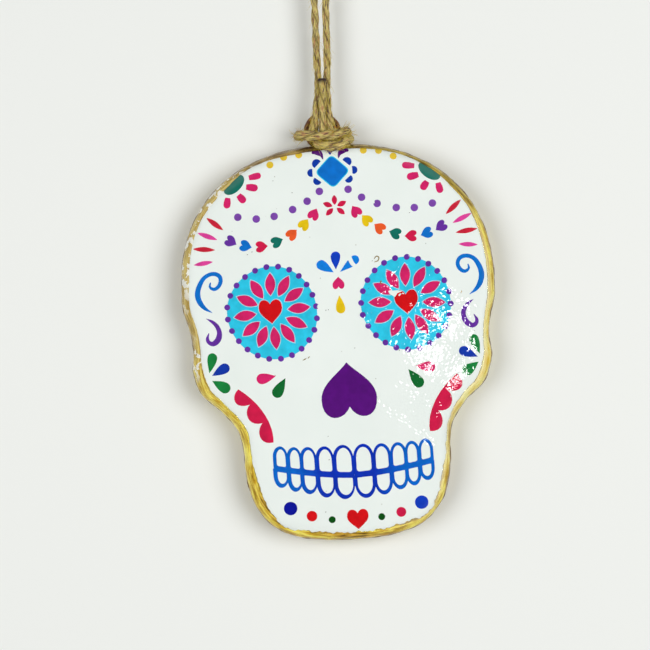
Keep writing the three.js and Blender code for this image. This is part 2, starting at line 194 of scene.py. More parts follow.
EDGE_CURVE = smooth_curve(skull_edge_points(), closed=True, per_span=40)


def inset_edge(inset, count):
    """Points of the edge drawn in by a distance, clockwise from the top, and the inward direction at each.

    The inset may be one number or one for each point.
    """
    edge = evenly(EDGE_CURVE, count, closed=True)
    along = np.roll(edge, -1, axis=0) - np.roll(edge, 1, axis=0)
    along /= np.linalg.norm(along, axis=1)[:, None]
    inward = np.column_stack([along[:, 1], -along[:, 0]])
    return edge + inward * np.broadcast_to(np.asarray(inset, float), (count,))[:, None], inward


SHELL_EDGE, SHELL_INWARD = inset_edge(SHELL_INSET, RIM_POINTS)


def distance_from_edge(points):
    """Distance in from the shells' edge, and the inward direction there."""
    distance = np.empty(len(points))
    inward = np.empty((len(points), 2))
    for first in range(0, len(points), 1500):
        part = points[first:first + 1500]
        apart = ((part[:, None, :] - SHELL_EDGE[None]) ** 2).sum(2)
        nearest = apart.argmin(1)
        inward[first:first + 1500] = SHELL_INWARD[nearest]
        distance[first:first + 1500] = ((part - SHELL_EDGE[nearest]) * SHELL_INWARD[nearest]).sum(1)
    return distance, inward


# Hand pressing leaves the dome faintly uneven: each wave's height in mm, its waves per mm across and up,
# and where it starts
PRESSING_WAVES = [
    (0.05, 0.021, 0.034, 0.4), (0.045, -0.033, 0.019, 2.1), (0.03, 0.052, -0.041, 4.0),
    (0.02, 0.071, 0.083, 1.2), (0.016, -0.097, 0.062, 5.2),
]


def dome(points):
    """Height of the dome without its shoulder, and its slope."""
    across = points[:, 0] / CRANIUM_HALF_WIDTH
    up = (points[:, 1] - FACE_MIDDLE) / FACE_HALF_HEIGHT
    fall = DOME_CROWN - DOME_EDGE
    height = DOME_CROWN - fall * (across**2 + up**2)
    slope = np.column_stack([-2 * fall * across / CRANIUM_HALF_WIDTH, -2 * fall * up / FACE_HALF_HEIGHT])
    for swell, waves_across, waves_up, start in PRESSING_WAVES:
        turn = 2 * math.pi * (points[:, 0] * waves_across + points[:, 1] * waves_up) + start
        height = height + swell * np.sin(turn)
        slope[:, 0] += swell * 2 * math.pi * waves_across * np.cos(turn)
        slope[:, 1] += swell * 2 * math.pi * waves_up * np.cos(turn)
    return height, slope


def on_skull(points, offset, side=-1):
    """Points on the tin, raised from it square to its surface; side -1 is the face and 1 the back."""
    points = np.asarray(points, float)
    height, slope = dome(points)
    distance, inward = distance_from_edge(points)
    share = np.clip(distance / SHOULDER_WIDTH, 0.0005, 1)
    roll = np.sqrt(1 - (1 - share) ** 2)
    steepness = np.where(share < 1, (1 - share) / (roll * SHOULDER_WIDTH), 0)
    rise = SEAM_RISE + (height - SEAM_RISE) * roll
    slope = slope * roll[:, None] + inward * ((height - SEAM_RISE) * steepness)[:, None]
    normal = np.column_stack([-slope[:, 0], np.ones(len(points)), -slope[:, 1]])
    normal /= np.linalg.norm(normal, axis=1)[:, None]
    placed = np.column_stack([points[:, 0], rise, points[:, 1]])
    placed += normal * np.broadcast_to(np.asarray(offset, float), (len(points),))[:, None]
    placed[:, 1] *= side
    return placed


def square_to_skull(points):
    """How far a point raised by one millimetre drifts sideways on the slope of the tin."""
    plain = on_skull(points, 0)
    return (on_skull(points, 1) - plain)[:, [0, 2]]


def foot_of(points, offset):
    """Places on the tin from which raised points show where they should in a front view."""
    feet = np.asarray(points, float)
    for _ in range(5):
        feet = points - square_to_skull(feet) * np.reshape(offset, (-1, 1))
    return feet


# Meshes

def make_piece(name, points, faces, material, smooth=True):
    mesh = bpy.data.meshes.new(name)
    mesh.from_pydata(metres(points).tolist(), [], faces)
    mesh.validate()
    shape = bmesh.new()
    shape.from_mesh(mesh)
    bmesh.ops.recalc_face_normals(shape, faces=shape.faces)
    shape.to_mesh(mesh)
    shape.free()
    if smooth:
        mesh.shade_smooth()
    else:
        mesh.shade_flat()
    mesh.materials.append(material)
    piece = bpy.data.objects.new(name, mesh)
    bpy.context.scene.collection.objects.link(piece)
    return piece


def ring_faces(first, second, count, flip=False):
    """Quads between two closed rings, each named by the number of its first point."""
    faces = []
    for i in range(count):
        after = (i + 1) % count
        face = (first + i, first + after, second + after, second + i)
        faces.append(face[::-1] if flip else face)
    return faces


def closed_sheet(rings, middle, top, underside, side=-1):
    """A curved sheet from rings that go inwards; top and underside are its two heights over the tin."""
    count = len(rings[0])
    flat = np.vstack([*rings, [middle]])
    points = np.vstack([on_skull(flat, top, side), on_skull(flat, underside, side)])
    faces = []
    below = len(flat)
    centre = below - 1
    flip = side > 0
    for ring in range(len(rings) - 1):
        first, second = ring * count, (ring + 1) * count
        faces += ring_faces(first, second, count, flip)
        faces += ring_faces(below + first, below + second, count, not flip)
    last = (len(rings) - 1) * count
    for i in range(count):
        after = (i + 1) % count
        fan = (last + i, last + after, centre)
        under = (below + last + after, below + last + i, below + centre)
        faces.append(fan[::-1] if flip else fan)
        faces.append(under[::-1] if flip else under)
    faces += ring_faces(below, 0, count, flip)
    return points, faces


def sheet_rings(insets, count, shares):
    rings = [inset_edge(inset, count)[0] for inset in insets]
    middle = np.array([0, FACE_MIDDLE])
    rings += [middle + (rings[-1] - middle) * share for share in shares]
    return rings, middle


# Print outlines, in millimetres across and up from the middle of the print

def print_to_skull(outline):
    points = np.asarray(outline, float)
    bow = PRINT_BOW * np.exp(-(((points[:, 1] - PRINT_BOW_MIDDLE) / PRINT_BOW_REACH) ** 2))
    across = points[:, 0] - bow
    x = PRINT_SHIFT + across * math.cos(PRINT_TILT) - points[:, 1] * math.sin(PRINT_TILT)
    z = PRINT_HEIGHT + across * math.sin(PRINT_TILT) + points[:, 1] * math.cos(PRINT_TILT)
    return np.column_stack([x, z])


def within(points, loops):
    """Which points lie inside the first loop and outside the hole."""
    result = np.zeros(len(points), bool)
    for loop in loops:
        following = np.roll(loop, -1, axis=0)
        for (x0, z0), (x1, z1) in zip(loop, following):
            if z1 != z0:
                crosses = (z0 > points[:, 1]) != (z1 > points[:, 1])
                result ^= crosses & (points[:, 0] < x0 + (points[:, 1] - z0) * (x1 - x0) / (z1 - z0))
    return result


def trimmed_to_film(points):
    """Draws points that run over the tin's edge back on to the film."""
    distance, inward = distance_from_edge(points)
    over = np.clip(PRINT_MARGIN - distance, 0, None)
    return points + inward * over[:, None]


def finely(outline, pitch):
    """The same outline with its long sides parted."""
    parted = []
    for start, end in zip(outline, np.roll(outline, -1, axis=0)):
        parts = max(1, round(np.linalg.norm(end - start) / pitch))
        parted += [start + (end - start) * step / parts for step in range(parts)]
    return np.array(parted)


def net_within(loops, pitch):
    """Points of a square net that lie inside the loops and clear of their lines."""
    flat = np.vstack(loops)
    low, high = loops[0].min(0), loops[0].max(0)
    columns = np.arange(low[0] + pitch / 2, high[0], pitch)
    rows = np.arange(low[1] + pitch / 2, high[1], pitch)
    net = np.array([(x, z) for x in columns for z in rows]).reshape(-1, 2)
    clear = np.sqrt(((net[:, None] - flat[None]) ** 2).sum(2)).min(1) > pitch / 3
    return net[clear & within(net, loops)]


def filled(loops, pitch):
    """The points and the triangles that fill the first loop and leave the hole open."""
    border = []
    first = 0
    for loop in loops:
        border += [(first + i, first + (i + 1) % len(loop)) for i in range(len(loop))]
        first += len(loop)
    flat = np.vstack([*loops, net_within(loops, pitch)])
    joined = delaunay_2d_cdt([Vector(point) for point in flat], border, [], 0, 1e-7)
    flat = np.array([tuple(point) for point in joined[0]])
    triangles = np.array(joined[2])
    return flat, triangles[within(flat[triangles].mean(1), loops)]


def thin_body(outline, top, depth, hole=None):
    """A closed patch of ink over the tin: its outline, filled with a net that follows the dome."""
    near_shoulder = distance_from_edge(outline)[0].min() < SHOULDER_WIDTH + 1
    pitch = FINE_PITCH if near_shoulder else NET_PITCH
    loops = [finely(loop, pitch) for loop in ([outline] if hole is None else [outline, hole])]
    flat, triangles = filled(loops, pitch)
    count = len(flat)
    feet = trimmed_to_film(foot_of(flat, top))
    points = np.vstack([on_skull(feet, top), on_skull(feet, top - depth)])
    faces = []
    used = set()
    for a, b, c in triangles.tolist():
        (ax, az), (bx, bz), (cx, cz) = flat[a], flat[b], flat[c]
        if (bx - ax) * (cz - az) - (bz - az) * (cx - ax) < 0:
            b, c = c, b
        faces += [(a, b, c), (count + c, count + b, count + a)]
        used |= {(a, b), (b, c), (c, a)}
    faces += [(b, a, count + a, count + b) for a, b in sorted(used) if (b, a) not in used]
    return points, faces


def ink_piece(name, outlines, level, material, holes=None, steps=(0,)):
    """One colour of the print. Level counts the inks below it, and steps part overlapping outlines."""
    points, faces = [], []
    first = 0
    for i, outline in enumerate(outlines):
        placed = print_to_skull(outline)
        hole = print_to_skull(holes[i]) if holes else None
        top = FILM_TOP + INK_LEVEL * (level + 1 + steps[i % len(steps)])
        body_points, body_faces = thin_body(placed, top, INK_DEPTH, hole)
        points.append(body_points)
        faces += [tuple(first + corner for corner in face) for face in body_faces]
        first += len(body_points)
    piece = make_piece(name, np.vstack(points), faces, material, smooth=False)
    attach(piece, "skull")
    return piece


def moved(outline, across, up, angle=0):
    points = np.asarray(outline, float)
    cos, sin = math.cos(angle), math.sin(angle)
    return np.column_stack([
        across + points[:, 0] * cos - points[:, 1] * sin,
        up + points[:, 0] * sin + points[:, 1] * cos,
    ])


def mirrored(outline):
    return np.asarray(outline, float) * (-1, 1)


def both_sides(outlines, shift=0):
    """The outlines and their mirror images, all shifted across by the same small amount."""
    pairs = [*outlines, *[mirrored(outline) for outline in outlines]]
    return [moved(outline, shift, 0) for outline in pairs]


def disc(across, up, radius, sides=28):
    turns = np.arange(sides) * 2 * math.pi / sides
    return np.column_stack([across + radius * np.cos(turns), up + radius * np.sin(turns)])


def half_disc(across, up, radius, facing, share=1.0, sides=20):
    """A disc cut straight across; facing is the direction of its round side."""
    turns = np.linspace(-math.pi / 2 * share, math.pi / 2 * share, sides) + facing
    return np.column_stack([across + radius * np.cos(turns), up + radius * np.sin(turns)])


def bezier(start, first, second, end, steps=10):
    t = (np.arange(steps) / steps)[:, None]
    start, first, second, end = (np.asarray(point, float) for point in (start, first, second, end))
    return (1 - t)**3 * start + 3 * (1 - t)**2 * t * first + 3 * (1 - t) * t**2 * second + t**3 * end


def petal(length, width, steps=12):
    """A pointed leaf along the across direction, between two arcs."""
    t = np.arange(steps) / steps
    half = np.column_stack([-length / 2 + length * t, -width / 2 * np.sin(math.pi * t) ** 0.85])
    return np.vstack([half, -half])


def heart(width, height):
    """A heart with its point down, from two curves for each half."""
    lobe = 0.57 * height
    half = 0.5 * width
    cleft, point = (0, 0.3 * height), (0, -0.5 * height)
    right, left = (half, 0.16 * height), (-half, 0.16 * height)
    return np.vstack([
        bezier(cleft, (0.12 * width, lobe), (half, lobe), right),
        bezier(right, (half, -0.14 * height), (0.16 * width, -0.3 * height), point),
        bezier(point, (-0.16 * width, -0.3 * height), (-half, -0.14 * height), left),
        bezier(left, (-half, lobe), (-0.12 * width, lobe), cleft),
    ])


def drop(tip, head, width):
    """A drop from its pointed tip to the far side of its round head, widest two thirds of the way."""
    tip, head = np.array(tip, float), np.array(head, float)
    length = np.linalg.norm(head - tip)
    along = (head - tip) / length
    across = np.array([-along[1], along[0]])
    widest = 1 - 0.5 * width / length
    tapering = np.linspace(0, widest, 9)
    rounding = np.linspace(0, math.pi / 2, 9)[1:]
    places = np.concatenate([tapering, widest + (1 - widest) * np.sin(rounding)])
    halves = np.concatenate([np.sin(tapering / widest * math.pi / 2) ** 1.1, np.cos(rounding)]) * width / 2
    middle = tip + places[:, None] * length * along
    near, far = middle + halves[:, None] * across, middle - halves[:, None] * across
    return np.vstack([near, far[-2:0:-1]])


def blunt_petal(inner, outer, width):
    """A petal cut straight across at its narrow inner end and round at the outer."""
    inner, outer = np.array(inner, float), np.array(outer, float)
    along = outer - inner
    length = np.linalg.norm(along)
    along /= length
    across = np.array([-along[1], along[0]])
    turns = np.linspace(0, math.pi, 13)
    shoulder = length - 0.5 * width
    local = [(0, -0.36 * width), (0.6 * shoulder, -0.5 * width)]
    local += [(shoulder + 0.5 * width * math.sin(turn), -0.5 * width * math.cos(turn)) for turn in turns]
    local += [(0.6 * shoulder, 0.5 * width), (0, 0.36 * width)]
    return np.array([inner + x * along + y * across for x, y in local])


def ray(inner, outer, width):
    middle = (np.array(inner, float) + outer) / 2
    angle = math.atan2(outer[1] - inner[1], outer[0] - inner[0])
    return moved(petal(math.dist(inner, outer), width), *middle, angle)


def stroke(points, widths, ends=8):
    """A brush stroke along a curve; widths are given at equal shares of it."""
    line = evenly(smooth_curve(points), 48)
    along = np.gradient(line, axis=0)
    along /= np.linalg.norm(along, axis=1)[:, None]
    across = np.column_stack([-along[:, 1], along[:, 0]])
    half = np.interp(np.linspace(0, 1, len(line)), np.linspace(0, 1, len(widths)), widths)[:, None] / 2
    turns = (np.arange(1, ends) / ends * math.pi)[:, None]
    cap_end = line[-1] + half[-1] * (np.cos(turns) * -across[-1] + np.sin(turns) * along[-1])
    cap_start = line[0] + half[0] * (np.cos(turns) * across[0] - np.sin(turns) * along[0])
    return np.vstack([line - across * half, cap_end, (line + across * half)[::-1], cap_start])


# Materials

def linear(hex_colour):
    """sRGB hex to the linear colour that Blender works in."""
    values = [int(hex_colour[i:i + 2], 16) / 255 for i in (1, 3, 5)]
    return (*[v / 12.92 if v <= 0.04045 else ((v + 0.055) / 1.055) ** 2.4 for v in values], 1)


def feed(node, inputs):
    """Sets inputs by name or number: each takes a number, a colour or the socket that feeds it."""
    for name, value in inputs.items():
        socket = node.inputs[name]
        if isinstance(value, bpy.types.NodeSocket):
            node.id_data.links.new(value, socket)
        else:
            socket.default_value = value


def add(tree, kind, inputs=None, output=0, **settings):
    """Adds a shader node and returns one of its outputs."""
    node = tree.nodes.new("ShaderNode" + kind)
    for name, value in settings.items():
        setattr(node, name, value)
    feed(node, inputs or {})
    return node.outputs[output]


def new_material(name):
    material = bpy.data.materials.new(name)
    material.use_nodes = True
    tree = material.node_tree
    return material, tree, tree.nodes["Principled BSDF"]


def place_in_mm(tree):
    """The point on the piece in millimetres, so that a noise's scale is one over a blotch's real size."""
    point = add(tree, "TexCoord", output="Object")
    return add(tree, "VectorMath", {0: point, "Scale": 1 / MM}, operation="SCALE")


def near(tree, place, centre, reach, most=1):
    """A share that is greatest at a point on the piece and fades out with distance from it."""
    distance = add(tree, "VectorMath", {0: place, 1: centre}, "Value", operation="DISTANCE")
    return add(tree, "MapRange", {0: distance, 1: 0.55 * reach, 2: reach, 3: most, 4: 0})


def streaks_along(tree, line, stretch, detail, roughness):
    """Noise drawn out along a rim or a twine; stretch is one over a streak's length and widths in mm."""
    drawn_out = add(tree, "VectorMath", {0: line, 1: stretch}, operation="MULTIPLY")
    return add(tree, "TexNoise", {"Vector": drawn_out, "Scale": 1, "Detail": detail, "Roughness": roughness})


def lacquer_skin(tree, shader, place):
    """Clear gloss lacquer, sprayed: long slow waves and orange peel break the reflection up.

    The peel is drawn 1.2 mm wide, a little coarser than life, because finer peel blurs at this distance.
    """
    swell = add(tree, "TexNoise", {"Vector": place, "Scale": 1 / 5})
    waves = add(tree, "Bump", {"Height": swell, "Distance": 0.06 * MM, "Strength": 1})
    pimples = add(tree, "TexNoise", {"Vector": place, "Scale": 1 / 1.2, "Detail": 1})
    peel = add(tree, "Bump", {"Height": pimples, "Distance": 0.05 * MM, "Strength": 1, "Normal": waves})
    feed(shader, {
        "Normal": waves, "Roughness": 0.5, "Specular IOR Level": 0,
        "Coat Weight": 1, "Coat Roughness": 0.03, "Coat IOR": 1.5, "Coat Normal": peel,
    })


def white_printed_film():
    """White printing ground under sprayed lacquer: clean and bright, with specks of dust caught in it."""
    material, tree, shader = new_material("white_printed_film")
    place = place_in_mm(tree)
    clouds = add(tree, "TexNoise", {"Vector": place, "Scale": 1 / 14})
    clean = add(tree, "Mix", {0: clouds, 6: linear("#e8f0ea"), 7: linear("#f2f8f3")}, 2, data_type="RGBA")
    from_speck = add(tree, "TexVoronoi", {"Vector": place, "Scale": 1 / 3.4, "Randomness": 1}, "Distance")
    speck = add(tree, "MapRange", {0: from_speck, 1: 0.03, 2: 0.075, 3: 0.55, 4: 0})
    chance = add(tree, "SeparateColor", {0: from_speck.node.outputs["Color"]})
    rare = add(tree, "MapRange", {0: chance, 1: 0.62, 2: 0.8})
    dust = add(tree, "Math", {0: speck, 1: rare}, operation="MULTIPLY")
    colour = add(tree, "Mix", {0: dust, 6: clean, 7: linear("#8f8f78")}, 2, data_type="RGBA")
    feed(shader, {"Base Color": colour})
    lacquer_skin(tree, shader, place)
    return material


def printed_ink(name, hex_colour, side_hex=None):
    """Screen-printed ink under the same lacquer, flat and strong; it can change shade towards the sides."""
    material, tree, shader = new_material(name)
    place = place_in_mm(tree)
    across = add(tree, "SeparateXYZ", {0: place}, "X")
    from_middle = add(tree, "Math", {0: across}, operation="ABSOLUTE")
    sideways = add(tree, "MapRange", {0: from_middle, 1: 8, 2: 17})
    shades = {0: sideways, 6: linear(hex_colour), 7: linear(side_hex or hex_colour)}
    colour = add(tree, "Mix", shades, 2, data_type="RGBA")
    blotches = add(tree, "TexNoise", {"Vector": place, "Scale": 1 / 2.6, "Detail": 3})
    density = add(tree, "MapRange", {0: blotches, 1: 0.3, 2: 0.7, 3: 0.86, 4: 1.1})
    inked = add(tree, "VectorMath", {0: colour, "Scale": density}, operation="SCALE")
    feed(shader, {"Base Color": inked})
    lacquer_skin(tree, shader, place)
    return material


# Zones of the leaf: middle and reach in mm, greatest share, then the darker and the lighter gold there
DULL_PLACE = (-40, -2, -86)
DULL_REACH = 50
GILT_ZONES = [
    (DULL_PLACE, DULL_REACH, 0.85, "#ac924a", "#d4bc78"),
    ((24, -2, -64), 30, 0.85, "#5c4a14", "#c4a848"),
    # Painted shade: brown under the knot by the ring
    ((-9, -2, -58), 24, 0.8, "#54382c", "#96784a"),
    # Painted highlight: paler, brighter gold on the right cheek
    ((43, -2, -134), 34, 0.9, "#ffd848", "#fffaa8"),
]


def streaked_gold(tree, streaks, dark_hex, light_hex):
    share = add(tree, "MapRange", {0: streaks, 1: 0.4, 2: 0.58})
    return add(tree, "Mix", {0: share, 6: linear(dark_hex), 7: linear(light_hex)}, 2, data_type="RGBA")


def gilt_colour(tree, place, streaks, patches):
    """Imitation gold, bright: dull at upper left, brown painted shade by the ring, painted highlight at
    right, browner in patches low down.
    """
    gold = streaked_gold(tree, streaks, "#d0a41c", "#fff070")
    for centre, reach, most, dark_hex, light_hex in GILT_ZONES:
        share = near(tree, place, centre, reach, most)
        shades = streaked_gold(tree, streaks, dark_hex, light_hex)
        gold = add(tree, "Mix", {0: share, 6: gold, 7: shades}, 2, data_type="RGBA")
    # Darker, browner gold in patches, most towards the bottom
    low_patch_share = add(tree, "Math", {0: near(tree, place, (2, -2, -186), 60), 1: 0.2}, operation="ADD")
    brown_patches = add(tree, "MapRange", {0: patches, 1: 0.42, 2: 0.6, 4: 0.85})
    browned = add(tree, "Math", {0: brown_patches, 1: low_patch_share}, operation="MULTIPLY")
    low_brown_gold = streaked_gold(tree, streaks, "#5a3a08", "#e4b440")
    gold = add(tree, "Mix", {0: browned, 6: gold, 7: low_brown_gold}, 2, data_type="RGBA")
    fine = fine_mottle(tree, place)
    freckles = add(tree, "MapRange", {0: fine, 1: 0.66, 2: 0.7, 4: 0.7})
    return add(tree, "Mix", {0: freckles, 6: gold, 7: linear("#7a5010")}, 2, data_type="RGBA")


def fine_mottle(tree, place):
    return add(tree, "TexNoise", {"Vector": place, "Scale": 1 / 0.8, "Detail": 3, "Roughness": 0.6})


def gilt_surface(tree, shader, place, streaks, patches, white_marks):
    """Metal except where the leaf is dull or white, dented by hand and ridged along its streaks."""
    dull = near(tree, place, DULL_PLACE, DULL_REACH, 0.51)
    not_metal = add(tree, "Math", {0: dull, 1: white_marks}, operation="MAXIMUM")
    leaf = add(tree, "MapRange", {0: not_metal, 3: 0.85, 4: 0})
    roughness = add(tree, "MapRange", {0: patches, 1: 0.35, 2: 0.7, 3: 0.16, 4: 0.36})
    dents = add(tree, "TexNoise", {"Vector": place, "Scale": 1 / 3.2})
    dented = add(tree, "Bump", {"Height": dents, "Distance": 0.25 * MM, "Strength": 1})
    ridged = add(tree, "Bump", {"Height": streaks, "Distance": 0.16 * MM, "Strength": 1, "Normal": dented})
    feed(shader, {"Metallic": leaf, "Roughness": roughness, "Normal": ridged})


def gilt_tin_plate():
    """Gilt lacquer over pressed tin plate: mottled gold without brush marks."""
    material, tree, shader = new_material("gilt_tin_plate")
    place = place_in_mm(tree)
    patches = add(tree, "TexNoise", {"Vector": place, "Scale": 1 / 4.5, "Detail": 4, "Roughness": 0.6})
    mottle = fine_mottle(tree, place)
    feed(shader, {"Base Color": gilt_colour(tree, place, mottle, patches)})
    gilt_surface(tree, shader, place, mottle, patches, 0)
    return material


def brushed_gilt_leaf():
    """Imitation leaf brushed along the rim: streaked, with painted highlight and painted shade at right,
    chipped white at upper left.

    A real brush leaves finer streaks; these are drawn about half a millimetre wide so that they show.
    """
    material, tree, shader = new_material("brushed_gilt_leaf")
    place = place_in_mm(tree)
    rim = add(tree, "Attribute", output="Vector", attribute_name="rim")
    streaks = streaks_along(tree, rim, (0.16, 1.8, 0), 4, 0.6)
    patches = streaks_along(tree, rim, (0.07, 0.6, 0), 3, 0.55)
    gold = gilt_colour(tree, place, streaks, patches)
    inward = add(tree, "SeparateXYZ", {0: rim}, "Z")
    inner = add(tree, "MapRange", {0: inward, 1: 0.5, 2: 0.95})
    # Painted highlight: the inner part of the leaf on the right turns pale cream
    right_side = near(tree, place, (46, -2, -132), 60, 0.6)
    painted_highlight = add(tree, "Math", {0: inner, 1: right_side}, operation="MULTIPLY")
    gold = add(tree, "Mix", {0: painted_highlight, 6: gold, 7: linear("#fff6cc")}, 2, data_type="RGBA")
    # Painted shade: the outer edge of the leaf on the right darkens towards brown
    outer = add(tree, "MapRange", {0: inward, 1: 0.24, 2: 0.08, 4: 0.8})
    right_edge = near(tree, place, (46, -2, -130), 66)
    shaded = add(tree, "Math", {0: outer, 1: right_edge}, operation="MULTIPLY")
    gold = add(tree, "Mix", {0: shaded, 6: gold, 7: linear("#6e4a10")}, 2, data_type="RGBA")
    white_marks = white_leaf_marks(tree, place)
    gold = add(tree, "Mix", {0: white_marks, 6: gold, 7: linear("#f2f2e8")}, 2, data_type="RGBA")
    feed(shader, {"Base Color": gold})
    gilt_surface(tree, shader, place, streaks, patches, white_marks)
    return material


def white_leaf_marks(tree, place):
    """White on the leaf: chips where it has flaked off, scattered at upper left, and patches close together
    by the left cheek.
    """
    chips = add(tree, "TexNoise", {"Vector": place, "Scale": 1 / 3, "Detail": 4, "Roughness": 0.6})
    scattered = add(tree, "MapRange", {0: chips, 1: 0.548, 2: 0.556})
    close = add(tree, "MapRange", {0: chips, 1: 0.51, 2: 0.518})
    upper_left = near(tree, place, (-40, -3, -82), 30)
    left_cheek = near(tree, place, (-46.5, -2, -121), 8)
    above = add(tree, "Math", {0: scattered, 1: upper_left}, operation="MULTIPLY")
    beside = add(tree, "Math", {0: close, 1: left_cheek}, operation="MULTIPLY")
    return add(tree, "Math", {0: above, 1: beside}, operation="MAXIMUM")


def brazed_seam():
    """Brass braze, filed and gilded over: duller than the leaf, and darkened brown as painted shade along
    the seam.
    """
    material, tree, shader = new_material("brazed_seam")
    blotches = add(tree, "TexNoise", {"Vector": place_in_mm(tree), "Scale": 1 / 2.2, "Detail": 3})
    # Brass colour, darkened here as painted shade along the seam
    colour = add(tree, "Mix", {0: blotches, 6: linear("#46300c"), 7: linear("#8a6420")}, 2, data_type="RGBA")
    filed = add(tree, "Bump", {"Height": blotches, "Distance": 0.3 * MM, "Strength": 1})
    feed(shader, {"Base Color": colour, "Metallic": 0.9, "Roughness": 0.42, "Normal": filed})
    return material


def copper_washed_wire():
    """Copper-washed steel wire gone brown: warm where rubbed, purple-brown in the tarnish."""
    material, tree, shader = new_material("copper_washed_wire")
    noise = {"Vector": place_in_mm(tree), "Scale": 1 / 1.3, "Detail": 3, "Roughness": 0.6}
    tarnish = add(tree, "TexNoise", noise)
    share = add(tree, "MapRange", {0: tarnish, 1: 0.35, 2: 0.65})
    colour = add(tree, "Mix", {0: share, 6: linear("#a0703c"), 7: linear("#5c3a34")}, 2, data_type="RGBA")
    pitted = add(tree, "Bump", {"Height": tarnish, "Distance": 0.12 * MM, "Strength": 1})
    feed(shader, {"Base Color": colour, "Metallic": 0.75, "Roughness": 0.48, "Normal": pitted})
    return material


def jute_twine():
    """Two-ply jute: straw-olive fibres, streaked dark where they part, reddish in places, dark at a cut end.

    The fibres are drawn a fifth of a millimetre wide, several times coarser than life, so that they show.
    """
    material, tree, shader = new_material("jute_twine")
    lay = add(tree, "Attribute", output="Vector", attribute_name="lay")
    fibres = streaks_along(tree, lay, (0.55, 5, 5), 4, 0.75)
    straw_share = add(tree, "MapRange", {0: fibres, 1: 0.3, 2: 0.7})
    straw = {0: straw_share, 6: linear("#86723a"), 7: linear("#f4e290")}
    colour = add(tree, "Mix", straw, 2, data_type="RGBA")
    patches = streaks_along(tree, lay, (0.5, 2.2, 2.2), 2, 0.5)
    reddish = add(tree, "MapRange", {0: patches, 1: 0.54, 2: 0.62, 4: 0.75})
    colour = add(tree, "Mix", {0: reddish, 6: colour, 7: linear("#b07858")}, 2, data_type="RGBA")
    partings = streaks_along(tree, lay, (0.4, 3.4, 3.4), 3, 0.6)
    parted = add(tree, "MapRange", {0: partings, 1: 0.39, 2: 0.46, 3: 0.9, 4: 0})
    colour = add(tree, "Mix", {0: parted, 6: colour, 7: linear("#46303a")}, 2, data_type="RGBA")
    from_cut = add(tree, "SeparateXYZ", {0: lay}, "X")
    cut_end = add(tree, "MapRange", {0: from_cut, 1: 0.6, 2: 1.8, 3: 0.95, 4: 0})
    colour = add(tree, "Mix", {0: cut_end, 6: colour, 7: linear("#2a1e2c")}, 2, data_type="RGBA")
    # Painted shade: darker in the groove between the two plies, and on the caps of the cut ends
    groove = add(tree, "Attribute", output="Fac", attribute_name="groove")
    shade = add(tree, "MapRange", {0: groove, 1: 0.3, 2: 1, 4: 0.8})
    colour = add(tree, "Mix", {0: shade, 6: colour, 7: linear("#453322")}, 2, data_type="RGBA")
    ridged = add(tree, "Bump", {"Height": fibres, "Distance": 0.2 * MM, "Strength": 1})
    feed(shader, {"Base Color": colour, "Roughness": 0.9, "Specular IOR Level": 0.25, "Normal": ridged})
    return material


def loose_jute_fibre():
    """Single loose fibres, paler than the twine because light passes through them."""
    material, tree, shader = new_material("loose_jute_fibre")
    place = place_in_mm(tree)
    tint = add(tree, "TexNoise", {"Vector": place, "Scale": 1 / 3})
    pale = add(tree, "Mix", {0: tint, 6: linear("#a88a2c"), 7: linear("#ead860")}, 2, data_type="RGBA")
    tufts = add(tree, "TexNoise", {"Vector": place, "Scale": 1 / 2})
    rusty = add(tree, "MapRange", {0: tufts, 1: 0.6, 2: 0.68, 4: 0.7})
    colour = add(tree, "Mix", {0: rusty, 6: pale, 7: linear("#c4702c")}, 2, data_type="RGBA")
    feed(shader, {"Base Color": colour, "Roughness": 0.8, "Specular IOR Level": 0.25})
    return material


def matt_pale_card():
    """Matt off-white card behind the ornament; gilding mirrors it as pale, and from behind it is clear."""
    material, tree, shader = new_material("matt_pale_card")
    off_white = linear("#eff1ed")
    feed(shader, {"Base Color": off_white, "Roughness": 0.95, "Specular IOR Level": 0.1})
    mirrored = add(tree, "LightPath", output="Is Glossy Ray")
    pale = add(tree, "Emission", {"Color": off_white, "Strength": 0.85})
    card = add(tree, "MixShader", {0: mirrored, 1: shader.outputs["BSDF"], 2: pale})
    from_behind = add(tree, "NewGeometry", output="Backfacing")
    shown = add(tree, "MixShader", {0: from_behind, 1: card, 2: add(tree, "BsdfTransparent")})
    feed(tree.nodes["Material Output"], {"Surface": shown})
    return material


WHITE = white_printed_film()
GILT_RIM = brushed_gilt_leaf()
GILT = gilt_tin_plate()
BRAZE = brazed_seam()
WIRE = copper_washed_wire()
TWINE = jute_twine()
FIBRE = loose_jute_fibre()
SKY_BLUE = printed_ink("sky_blue_ink", "#2cc8e8")
MAGENTA = printed_ink("magenta_ink", "#d42066")
RED = printed_ink("red_ink", "#d40810")
CRIMSON = printed_ink("crimson_ink", "#d01848")
VIOLET = printed_ink("violet_ink", "#560878")
PURPLE = printed_ink("purple_ink", "#66309e")
LILAC = printed_ink("lilac_ink", "#7c46a8")
ROYAL_BLUE = printed_ink("royal_blue_ink", "#0a3cc0")
DEEP_BLUE = printed_ink("deep_blue_ink", "#0838a4")
TOOTH_BLUE = printed_ink("tooth_blue_ink", "#0430b4", "#0064c8")
BRIGHT_BLUE = printed_ink("bright_blue_ink", "#0470cc")
RAY_RED = printed_ink("ray_red_ink", "#cc2038")
AZURE = printed_ink("azure_ink", "#0a7fe0")
NAVY = printed_ink("navy_ink", "#000c98")
BLUE = printed_ink("blue_ink", "#0c36a8")
GREEN = printed_ink("green_ink", "#14803a")
DARK_GREEN = printed_ink("dark_green_ink", "#086a2c")
DEEPEST_GREEN = printed_ink("deepest_green_ink", "#004c08")
TEAL = printed_ink("teal_ink", "#0c7060")
YELLOW = printed_ink("yellow_ink", "#e8c410")
